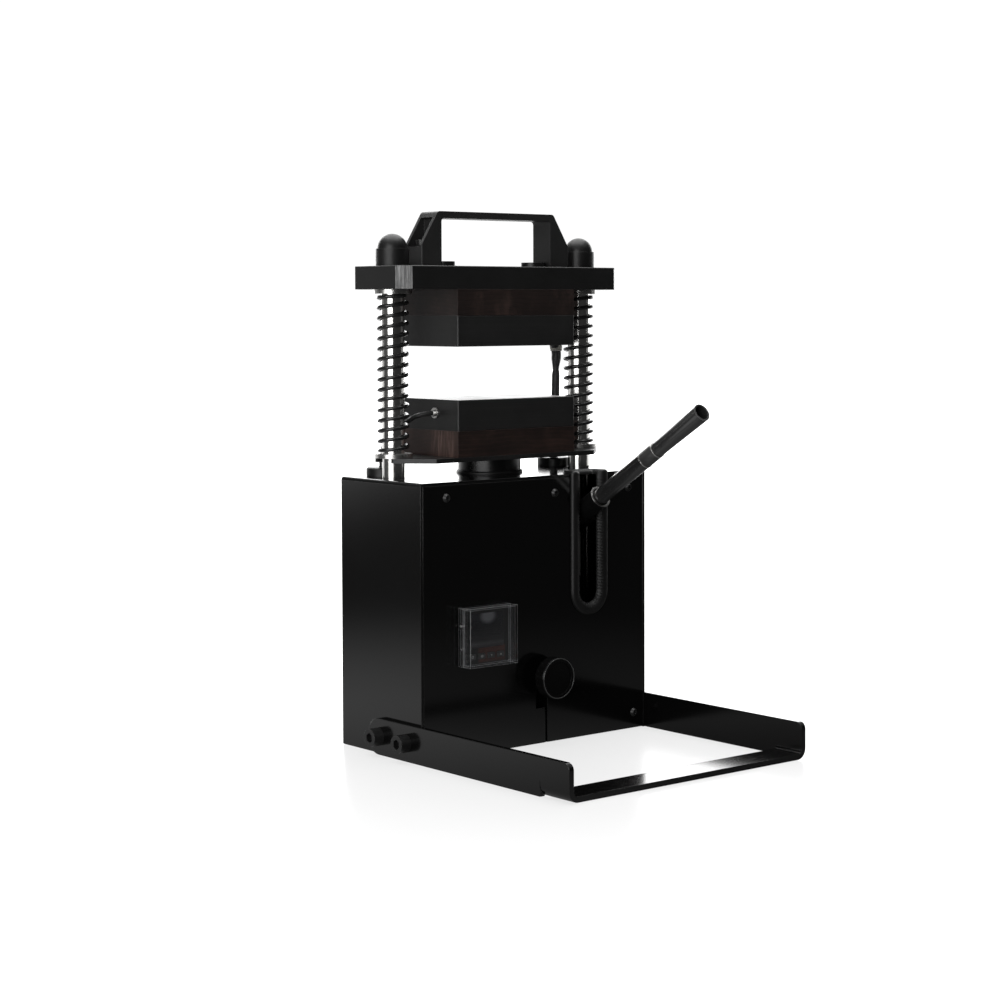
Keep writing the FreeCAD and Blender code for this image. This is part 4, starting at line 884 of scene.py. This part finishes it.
def edge_trim():
    crest = catmull_rom([Vector(point) for point in BAND_CREST], 3)
    section = [(max(-BAND_HALF, min(BAND_HALF, point.x)), min(FRONT_THICK, point.y))
               for point in crest] + BAND_LIP
    centre = Vector((SLOT_X, 0, 0))
    stations = trim_stations()
    verts = []
    for point, normal, inward, thick in stations:
        # the lip reaches into the slot only where the surface is flat
        flat = abs(normal.y) > 0.99 or normal.z > 0.99
        for across, height in thinned(section, thick):
            if height < 0 and not flat:
                height = 0.0
            verts.append((centre + point + inward * across + normal * height) * MM)
    faces = loop_faces(len(stations), len(section))
    part = mesh_object("slot_edge_trim", verts, faces, MATERIALS["black_rubber"], sharp=50)
    attach(part, "frame", replaces="slot_trim")


def trim_ribs():
    """Small rounded ridges across the band's inner slope."""
    verts, faces = [], []

    def rib(point, inward, normal, thick):
        base = len(verts)
        point = Vector(point) + Vector((SLOT_X, 0, 0))
        inward = Vector(inward)
        across = inward.cross(normal)
        slope = thinned(RIB_SLOPE, thick)
        last = len(slope) - 1
        for i, (along, height) in enumerate(slope):
            before, after = slope[max(0, i - 1)], slope[min(last, i + 1)]
            run, rise = after[0] - before[0], after[1] - before[1]
            outward = (inward * -rise + normal * run) / math.hypot(run, rise)
            foot = point + inward * along + normal * height
            for k in range(RIB_SIDES):
                angle = math.radians(180 * k / (RIB_SIDES - 1))
                lift = RIB_HEIGHT * RIB_SWELL[i] * math.sin(angle) - RIB_SUNK
                verts.append((foot + across * (RIB_HALF * math.cos(angle))
                              + outward * lift) * MM)
        faces.extend(tube_faces(len(slope), RIB_SIDES, base))
        faces.extend(end_faces(len(slope), RIB_SIDES, base))

    for i in range(int((TOP_Z - 3 - ARC_Z) / SIDE_RIB_PITCH)):
        z = ARC_Z + (i + 0.5) * SIDE_RIB_PITCH
        for side in (1, -1):
            rib((side * BAND_MID, FRONT_Y, z), (-side, 0, 0), FRONT_FACE, FRONT_THICK)
    for i in range(1, ARC_RIB_SPACES):
        point, inward = arc_station(i / ARC_RIB_SPACES)
        rib(point, inward, FRONT_FACE, FRONT_THICK)
    for i in range(8):
        rib(((i - 3.5) * BACK_RIB_PITCH, BACK_Y, TOP_Z), (0, -1, 0), TOP_FACE, TOP_THICK)
    for i in range(3):
        y = FRONT_Y + 1.6 + i * TOP_RIB_PITCH
        for side in (-1, 1):
            rib((side * BAND_MID, y, TOP_Z), (-side, 0, 0), TOP_FACE, TOP_THICK)
    part = mesh_object("slot_trim_ribs", verts, faces, MATERIALS["black_rubber"], sharp=60)
    attach(part, "frame")


edge_trim()
trim_ribs()


# -------------------------------------------------------------- heater cables
EXIT_X = 66.6                    # side of the platens, where the leads come out
DROP_X, DROP_Y = 98.5, 26.0      # where the thick sleeves hang down
UPPER_Z, LOWER_Z = 363.7, 292.0  # heights of the leads at the platens
UPPER_LEAD_Y, LOWER_LEAD_Y = 18, -7.4
WAIST_Z = 327.0                  # the thick upper sleeve is pinched here
COLLAR_X = DROP_X + 3.4
# centre lines as (x, y, z)
UPPER_PATH = [
    (EXIT_X + 4.4, UPPER_LEAD_Y, UPPER_Z), (EXIT_X + 8.0, UPPER_LEAD_Y, UPPER_Z),
    (EXIT_X + 16, 19.4, UPPER_Z - 1.2), (DROP_X - 3, 23, UPPER_Z - 8),
    (COLLAR_X, DROP_Y, UPPER_Z - 20), (DROP_X + 3.0, DROP_Y, WAIST_Z),
    (DROP_X + 2.3, DROP_Y, 295), (DROP_X + 1.4, DROP_Y, 262), (DROP_X, DROP_Y, 244),
    (DROP_X, DROP_Y, 227)]
UPPER_SMALL_PATH = [
    (EXIT_X + 4.4, -UPPER_LEAD_Y, UPPER_Z), (EXIT_X + 8.0, -UPPER_LEAD_Y, UPPER_Z),
    (EXIT_X + 12, -12, UPPER_Z - 1), (EXIT_X + 15.5, 0, UPPER_Z - 2.5),
    (EXIT_X + 19.5, 10, UPPER_Z - 4), (EXIT_X + 24, 16.5, UPPER_Z - 6.5),
    (EXIT_X + 28, 22.0, UPPER_Z - 9.5)]
LOWER_PATH = [
    (-EXIT_X - 1.4, LOWER_LEAD_Y, LOWER_Z), (-EXIT_X - 6.5, -7.3, LOWER_Z - 0.1),
    (-EXIT_X - 12.0, -5.0, LOWER_Z - 1.0), (-EXIT_X - 16.0, 1.0, LOWER_Z - 3.2),
    (-EXIT_X - 18.0, 8.0, LOWER_Z - 7.0), (-EXIT_X - 20.0, 14.5, LOWER_Z - 12.0),
    (-EXIT_X - 23.5, 20.0, LOWER_Z - 18.5), (-DROP_X + 4.0, 24.5, LOWER_Z - 25.5),
    (-DROP_X + 1.2, DROP_Y, 259), (-DROP_X, DROP_Y, 251), (-DROP_X, DROP_Y, 240),
    (-DROP_X, DROP_Y, 228)]


def lead(name, path, base_radius, shape, sides=20):
    """Sleeved cable with slight unevenness; shape(z) scales its radius."""
    controls = [Vector(point) * MM for point in path]
    line = evenly_spaced(catmull_rom(controls, 14) + [controls[-1]], 0.9 * MM)

    def radius(i, angle):
        lumps = 0.10 * noise.noise(line[i] * 180)
        braid = 0.05 * (math.sin(6 * angle + i * 0.75) + math.sin(6 * angle - i * 0.75))
        return (base_radius * shape(line[i].z / MM) + lumps + braid) * MM

    return sweep(name, line, radius, sides, MATERIALS["cable_sleeve"])


def upper_shape(z):
    """Fuller above the waist than below it."""
    full, pinch, width = (1.20, 0.40, 6.0) if z > WAIST_Z else (1.0, 0.20, 3.5)
    return full - pinch * math.exp(-((z - WAIST_Z) / width) ** 2)


def lower_shape(z):
    """Thin at the platen, swelling over 14 mm to the thick sleeve."""
    return 1.0 + 0.83 * min(1.0, max(0.0, (284.0 - z) / 14.0))


def heater_leads():
    upper = lead("upper_cable_sleeve", UPPER_PATH, 3.75, upper_shape)
    attach(upper, "frame", replaces="upper_heater_cable")
    small = lead("upper_cable_small_sleeve", UPPER_SMALL_PATH, 2.3, lambda z: 1.0, sides=16)
    attach(small, "frame")
    lower = lead("lower_cable_sleeve", LOWER_PATH, 2.1, lower_shape)
    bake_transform(lower)
    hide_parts("lower_heater_cable")


# (change from the crimp's radius, distance along the lead)
CRIMP_PROFILE = [(-1.2, 0.15), (-0.2, 0.15), (0.0, 0.35), (0.0, 0.9), (-0.25, 1.1),
                 (-0.25, 1.5), (0.0, 1.7), (0.0, 2.2), (-0.3, 2.5), (-0.9, 2.6),
                 (-1.3, 2.3), (-1.3, 0.4)]
# name, start, radius, body, way along X
CRIMPS = (
    ("upper_lead_crimp_back", (EXIT_X + 4.0, UPPER_LEAD_Y, UPPER_Z), 4.4, "frame", 1),
    ("upper_lead_crimp_front", (EXIT_X + 4.0, -UPPER_LEAD_Y, UPPER_Z), 3.1, "frame", 1),
    ("lower_lead_crimp", (-EXIT_X - 1.2, LOWER_LEAD_Y, LOWER_Z), 2.9, "platen_carriage", -1),
)


def lead_crimps():
    """Crimped ends of the heater leads."""
    for name, start, radius, body, way in CRIMPS:
        profile = [(radius + change, along) for change, along in CRIMP_PROFILE]
        part = turned(name, profile, start, (way, 0, 0), MATERIALS["zinc_steel"], 40)
        attach(part, body)


STRANDS = 24
STRAND_ROWS, STRAND_SIDES = 7, 6
COLLAR_LOW, COLLAR_HIGH = 343.5, 349.2


def frayed_collar():
    """Short glass-yarn collar with loose ends around the thick upper sleeve."""
    verts, faces = [], []
    for k in range(STRANDS):
        start = 2 * math.pi * k / STRANDS
        stray = noise.noise(Vector((k * 1.7, 0.3, 2.2)))
        top = COLLAR_HIGH + 1.6 * noise.noise(Vector((k * 2.3, 5.1, 0.4)))
        points = []
        for j in range(STRAND_ROWS):
            share = j / (STRAND_ROWS - 1)
            z = COLLAR_LOW + (top - COLLAR_LOW) * share
            radius = 4.85 + 0.30 * math.sin(share * 2.4) + 0.8 * share * share * (0.5 + stray)
            angle = start + 0.30 * share * (0.4 + stray)
            points.append(Vector((COLLAR_X + radius * math.cos(angle),
                                  DROP_Y + radius * math.sin(angle), z)) * MM)
        base = len(verts)
        for j, (normal, side) in enumerate(frames_along(points)):
            thick = (0.50 if j < STRAND_ROWS - 1 else 0.2) * MM
            for i in range(STRAND_SIDES):
                angle = 2 * math.pi * i / STRAND_SIDES
                outward = normal * math.cos(angle) + side * math.sin(angle)
                verts.append(points[j] + outward * thick)
        faces += tube_faces(STRAND_ROWS, STRAND_SIDES, base)
        faces += end_faces(STRAND_ROWS, STRAND_SIDES, base)
    yarn = finish("glass_yarn", base=(0.72, 0.70, 0.64), rough=0.40, grain=1500.0, bump=0.2,
                  edge=0.1, vary=0.4)
    attach(mesh_object("upper_cable_collar", verts, faces, yarn), "frame")


heater_leads()
lead_crimps()
frayed_collar()


# ---------------------------------------------------------------- lever rings
LEVER_PIVOT = Vector((60.0, -20.0, 177.04))
LEVER_SLOPE = math.radians(31.9)
LEVER_WAY = Vector((0.0, -math.cos(LEVER_SLOPE), math.sin(LEVER_SLOPE)))


def lever_rings():
    silver = zinc("ring_silver", bright=0.72, rough=0.22)
    band = finish("lever_band", base=0.045, rough=0.36, bump=0.10, edge=0.1, vary=0.5,
                  blotch=120.0, coat=0.3)
    # name, distance from pivot, inner and outer radius, half length, material, slot
    for name, along, inner, outer, half, material, slot in (
            ("lever_ring_lower", 141.6, 7.25, 7.72, 0.75, silver, "zinc_steel"),
            ("lever_ring_upper", 159.4, 7.00, 7.62, 0.75, silver, "zinc_steel"),
            ("lever_band_sleeve", 150.5, 7.31, 7.44, 8.0, band, "lever_paint")):
        corner = min(0.12, (outer - inner) / 2.2)
        profile = rounded_box(inner, outer, -half, half, corner)
        part = turned(name, profile, LEVER_PIVOT + LEVER_WAY * along, LEVER_WAY, material, 64)
        attach(part, "lever")
    # a thin grey metal ring at the socket's mouth stands in for the highlight on its rim: a
    # painted highlight
    part = turned("socket_mouth_ring", rounded_box(8.2, 10.12, 73.1, 73.75, 0.2), LEVER_PIVOT,
                  LEVER_WAY, zinc("socket_rim_highlight", bright=0.34, rough=0.30), 64)
    attach(part, "lever_yoke")


lever_rings()


# ---------------------------------------------------------- controller details
PANEL_X, PANEL_Z = -62.2, 103.25
FORWARD = (0, -1, 0)
GLASS_FRONT, GLASS_BACK = -71.45, -70.85
SEGMENT_FRONT, SEGMENT_BACK = -71.52, -71.40
KEY_Z = PANEL_Z - 17.5
KEY_PITCH = 10.4
ARROW_SIZE = 1.1
# centre z, digit height and width, first digit x, gap between digits, bar thickness
DIGIT_ROWS = ((PANEL_Z + 10.6, 9.4, 5.2, PANEL_X - 9.6, 2.3, 1.05),
              (PANEL_Z - 3.4, 7.4, 4.2, PANEL_X - 4.2, 1.7, 0.85))


def display_window():
    outline = rounded_box(PANEL_X - 19.3, PANEL_X + 19.3, PANEL_Z - 10.3, PANEL_Z + 19.3,
                          1.2, steps=5)
    part = plate_mesh("display_glass", outline, GLASS_FRONT, GLASS_BACK,
                      lamp_glass("display_window"))
    attach(part, "frame")


def display_digits():
    """Two rows of four seven-bar digits; each bar is a stretched hexagon."""
    verts, faces = [], []

    def bar(x, z, length, thick, upright):
        end, half = length / 2.0, thick / 2.0
        points = [(-end, 0), (-end + half, half), (end - half, half),
                  (end, 0), (end - half, -half), (-end + half, -half)]
        if upright:
            points = [(-b, a) for a, b in points]
        base = len(verts)
        for y in (SEGMENT_FRONT, SEGMENT_BACK):
            for a, b in points:
                verts.append(Vector((x + a, y, z + b)) * MM)
        faces.extend(tube_faces(2, 6, base) + end_faces(2, 6, base))

    for row_z, height, width, first_x, gap, thick in DIGIT_ROWS:
        for i in range(4):
            x = first_x + i * (width + gap)
            for up in (height / 2, 0, -height / 2):
                bar(x, row_z + up, width - 1.2, thick, False)
            for up in (height / 4, -height / 4):
                for side in (-width / 2, width / 2):
                    bar(x + side, row_z + up, height / 2 - 0.9, thick, True)
    part = mesh_object("display_segments", verts, faces, lamp_glass("unlit_digits"),
                       smooth=False)
    attach(part, "frame")


def key_marks():
    """Arrows on two keys, small rings on the other two."""
    mark = finish("printed_mark", base=0.38, rough=0.45, grain=1500.0, bump=0.1, edge=0.05,
                  vary=0.15)
    for name, place, way, body in (("down_key_mark", 0.5, -1, "key_down"),
                                   ("up_key_mark", 1.5, 1, "key_up")):
        x = PANEL_X + place * KEY_PITCH
        foot = KEY_Z - way * ARROW_SIZE * 0.55
        outline = [(x - ARROW_SIZE, foot), (x + ARROW_SIZE, foot),
                   (x, KEY_Z + way * ARROW_SIZE * 0.75)]
        # keep the outline counter-clockwise
        part = plate_mesh(name, outline[::way], -72.66, -72.55, mark, soft=0.03)
        attach(part, body)
    for name, place, body in (("set_key_mark", -1.5, "key_set"),
                              ("shift_key_mark", -0.5, "key_shift")):
        part = turned(name, rounded_box(0.75, 1.15, 0.0, 0.1, 0.04),
                      (PANEL_X + place * KEY_PITCH, -72.57, KEY_Z), FORWARD, mark, 24)
        attach(part, body)


def status_lamps():
    dome = [(0.05, 0.0), (0.85, 0.0), (0.85, 0.12), (0.6, 0.3), (0.05, 0.38)]
    for i, up in enumerate((14.0, 8.0, -1.0)):
        part = turned("status_lamp_%d" % (i + 1), dome, (PANEL_X - 16.0, -71.42, PANEL_Z + up),
                      FORWARD, status_lamp_red(), 20)
        attach(part, "frame")


def knob_rim_highlight_bead():
    """Bright bead round the front of the release knob; its pale colour is a painted highlight
    on the rim.
    """
    bead = finish("knob_rim_highlight_bead", base=0.05, rough=0.14, specular=0.8, grain=500.0, bump=0.04,
                  edge=0.1)
    part = turned("knob_rim_bead", rounded_box(16.9, 17.75, 0.0, 0.55, 0.22),
                  (7.5, -86.35, 60.0), FORWARD, bead, 96)
    attach(part, "release_valve")


display_window()
display_digits()
key_marks()
status_lamps()
knob_rim_highlight_bead()


# ----------------------------------------------------------------- the studio
# from here on lengths are in metres
HEADING = math.radians(39.770)    # the camera looks this far from +Y towards +X
AHEAD = Vector((math.sin(HEADING), math.cos(HEADING), 0.0))
RIGHT = Vector((AHEAD.y, -AHEAD.x, 0.0))
FLOOR_HALF, FLOOR_Z = 9.0, -0.0003
FLOOR_DIFFUSE = 0.25
FLOOR_NEAR_SHADOWED, FLOOR_FAR = 0.71, 0.86       # glow seen by the camera, near the press and away; lower near the press as a painted shadow
FLOOR_LEFT, FLOOR_RIGHT = 0.50, 0.105    # glow seen by the press, left and right
# world brightness from each side, its base level, and what the camera sees
BACK, LEFT, TOP, DARK, BACKDROP = 4.0, 0.07, 0.5, 0.025, 1.05


def floor_material():
    tree = Tree("studio_floor")
    place = tree.place()
    across = tree.dot(place, tuple(RIGHT))
    ahead = tree.dot(place, tuple(AHEAD))
    fine = tree.noise(3.0, detail=3.0, rough=0.6)
    grain = tree.noise(260.0, detail=3.0, rough=0.6)
    rough = tree.plus(tree.remap(fine, MID, to=(0.16, 0.22)),
                      tree.remap(grain, MID, to=(-0.01, 0.01)))
    diffuse = tree.node("BsdfDiffuse", {"Color": rgb(FLOOR_DIFFUSE)})
    # the glow seen by the camera dims towards the press: a painted shadow round its foot
    distance = tree.length(tree.vector("SUBTRACT", place, (0.0, -0.12, 0.0)))
    level = tree.remap(distance, (0.12, 0.60), to=(FLOOR_NEAR_SHADOWED, FLOOR_FAR), smooth=True)
    level = tree.plus(level, tree.remap(fine, (0.2, 0.8), to=(-0.004, 0.004)))
    glow = tree.node("Emission", {"Color": rgb(1.0), "Strength": level})
    gloss = tree.node("BsdfAnisotropic", {"Color": rgb(0.6), "Roughness": rough},
                      distribution="GGX")
    glance = tree.node("Fresnel", {"IOR": 1.45})
    surface = tree.node("MixShader", {0: glance, 1: diffuse, 2: gloss})
    seen = tree.node("AddShader", {0: glow, 1: surface})
    # what the press's own surfaces see: brightest near it, to the left and far behind
    span = (0.25, -0.35)
    side = tree.remap(across, span, to=(FLOOR_RIGHT, FLOOR_LEFT), smooth=True)
    away = tree.length(place)
    right = tree.remap(across, span, to=(1.0, 0.0), smooth=True)
    near = tree.remap(away, (0.30, 1.1), to=(1.0, 0.13), smooth=True)
    near = tree.math("MAXIMUM", near, tree.times(right, 0.30))
    behind = tree.remap(ahead, (0.2, 1.6), to=(0.0, 1.2), smooth=True)
    level = tree.math("MAXIMUM", tree.times(side, near), behind)
    other = tree.node("Emission", {"Color": rgb(1.0), "Strength": level})
    camera_ray = tree.node("LightPath", out="Is Camera Ray")
    return tree.done(tree.node("MixShader", {0: camera_ray, 1: other, 2: seen}))


def studio_floor():
    mesh = bpy.data.meshes.new("studio_floor")
    corners = [(x * FLOOR_HALF, y * FLOOR_HALF, FLOOR_Z)
               for x, y in ((-1, -1), (1, -1), (1, 1), (-1, 1))]
    mesh.from_pydata(corners, [], [(0, 1, 2, 3)])
    floor = bpy.data.objects.new("studio_floor", mesh)
    mesh.materials.append(floor_material())
    link(floor)


def studio_world():
    """Bright behind the press, dimmer from the left and above; even for the camera."""
    world = bpy.data.worlds.new("studio")
    bpy.context.scene.world = world
    tree = Tree("studio", world=world)
    way = tree.node("TexCoord", out="Generated")
    ahead = tree.dot(way, tuple(AHEAD))
    across = tree.dot(way, tuple(RIGHT))
    z = tree.axis(way, "Z")
    back = tree.times(tree.remap(ahead, (0.62, 0.86), smooth=True),
                      tree.remap(z, (0.75, 0.45), smooth=True))
    left = tree.remap(across, (-0.2, -0.95), smooth=True)
    top = tree.remap(z, (0.35, 0.95), smooth=True)
    level = tree.plus(tree.times(left, LEFT), tree.times(top, TOP))
    level = tree.plus(tree.times(back, BACK), level)
    level = tree.plus(level, DARK)
    camera_ray = tree.node("LightPath", out="Is Camera Ray")
    strength = tree.mix_value(camera_ray, level, BACKDROP)
    background = tree.node("Background", {"Color": rgb(1.0), "Strength": strength})
    tree.done(background, output="OutputWorld")


def softbox(name, at, aim, width, height, radiance):
    light = bpy.data.lights.new(name, "AREA")
    light.shape = "RECTANGLE"
    light.size, light.size_y = width, height
    light.energy = radiance * math.pi * width * height
    box = bpy.data.objects.new(name, light)
    box.location = at
    way = Vector(aim) - Vector(at)
    box.rotation_euler = way.to_track_quat("-Z", "Y").to_euler()
    link(box)


def studio_lights():
    softbox("overhead", at=(0.15, 0.25, 1.7), aim=(0.0, 0.0, 0.2), width=1.7, height=1.7,
            radiance=3.2)
    bearing, distance = math.radians(206), 1.9
    softbox("front_left",
            at=(distance * math.cos(bearing), distance * math.sin(bearing), 0.62),
            aim=(0, 0, 0.30), width=1.50, height=1.30, radiance=3.4)


CAMERA_PLACE = (-1.2354, -1.52447, 0.38301)
CAMERA_DIP = math.radians(2.846)      # below level
CAMERA_ROLL = math.radians(-0.1635)
CAMERA_LENS = 78.8382                 # mm, on a 36 mm wide sensor
CAMERA_SHIFT = (-0.01776, -0.08257)   # as a share of the sensor's width


def studio_camera():
    ahead = Vector((math.sin(HEADING) * math.cos(CAMERA_DIP),
                    math.cos(HEADING) * math.cos(CAMERA_DIP), -math.sin(CAMERA_DIP)))
    up = RIGHT.cross(ahead)
    cos, sin = math.cos(CAMERA_ROLL), math.sin(CAMERA_ROLL)
    rolled_right = RIGHT * cos + up * sin
    rolled_up = up * cos - RIGHT * sin
    settings = bpy.data.cameras.new("camera")
    settings.sensor_fit = "HORIZONTAL"
    settings.sensor_width = 36.0
    settings.lens = CAMERA_LENS
    settings.shift_x, settings.shift_y = CAMERA_SHIFT
    settings.clip_start, settings.clip_end = 0.05, 60.0
    camera = bpy.data.objects.new("camera", settings)
    pose = Matrix((rolled_right, rolled_up, -ahead)).transposed().to_4x4()
    pose.translation = Vector(CAMERA_PLACE)
    camera.matrix_world = pose
    link(camera)
    bpy.context.scene.camera = camera


studio_floor()
studio_world()
studio_lights()
studio_camera()

view = bpy.context.scene.view_settings
view.view_transform = "Standard"
view.look = "None"
view.exposure = 0.0
view.gamma = 1.0
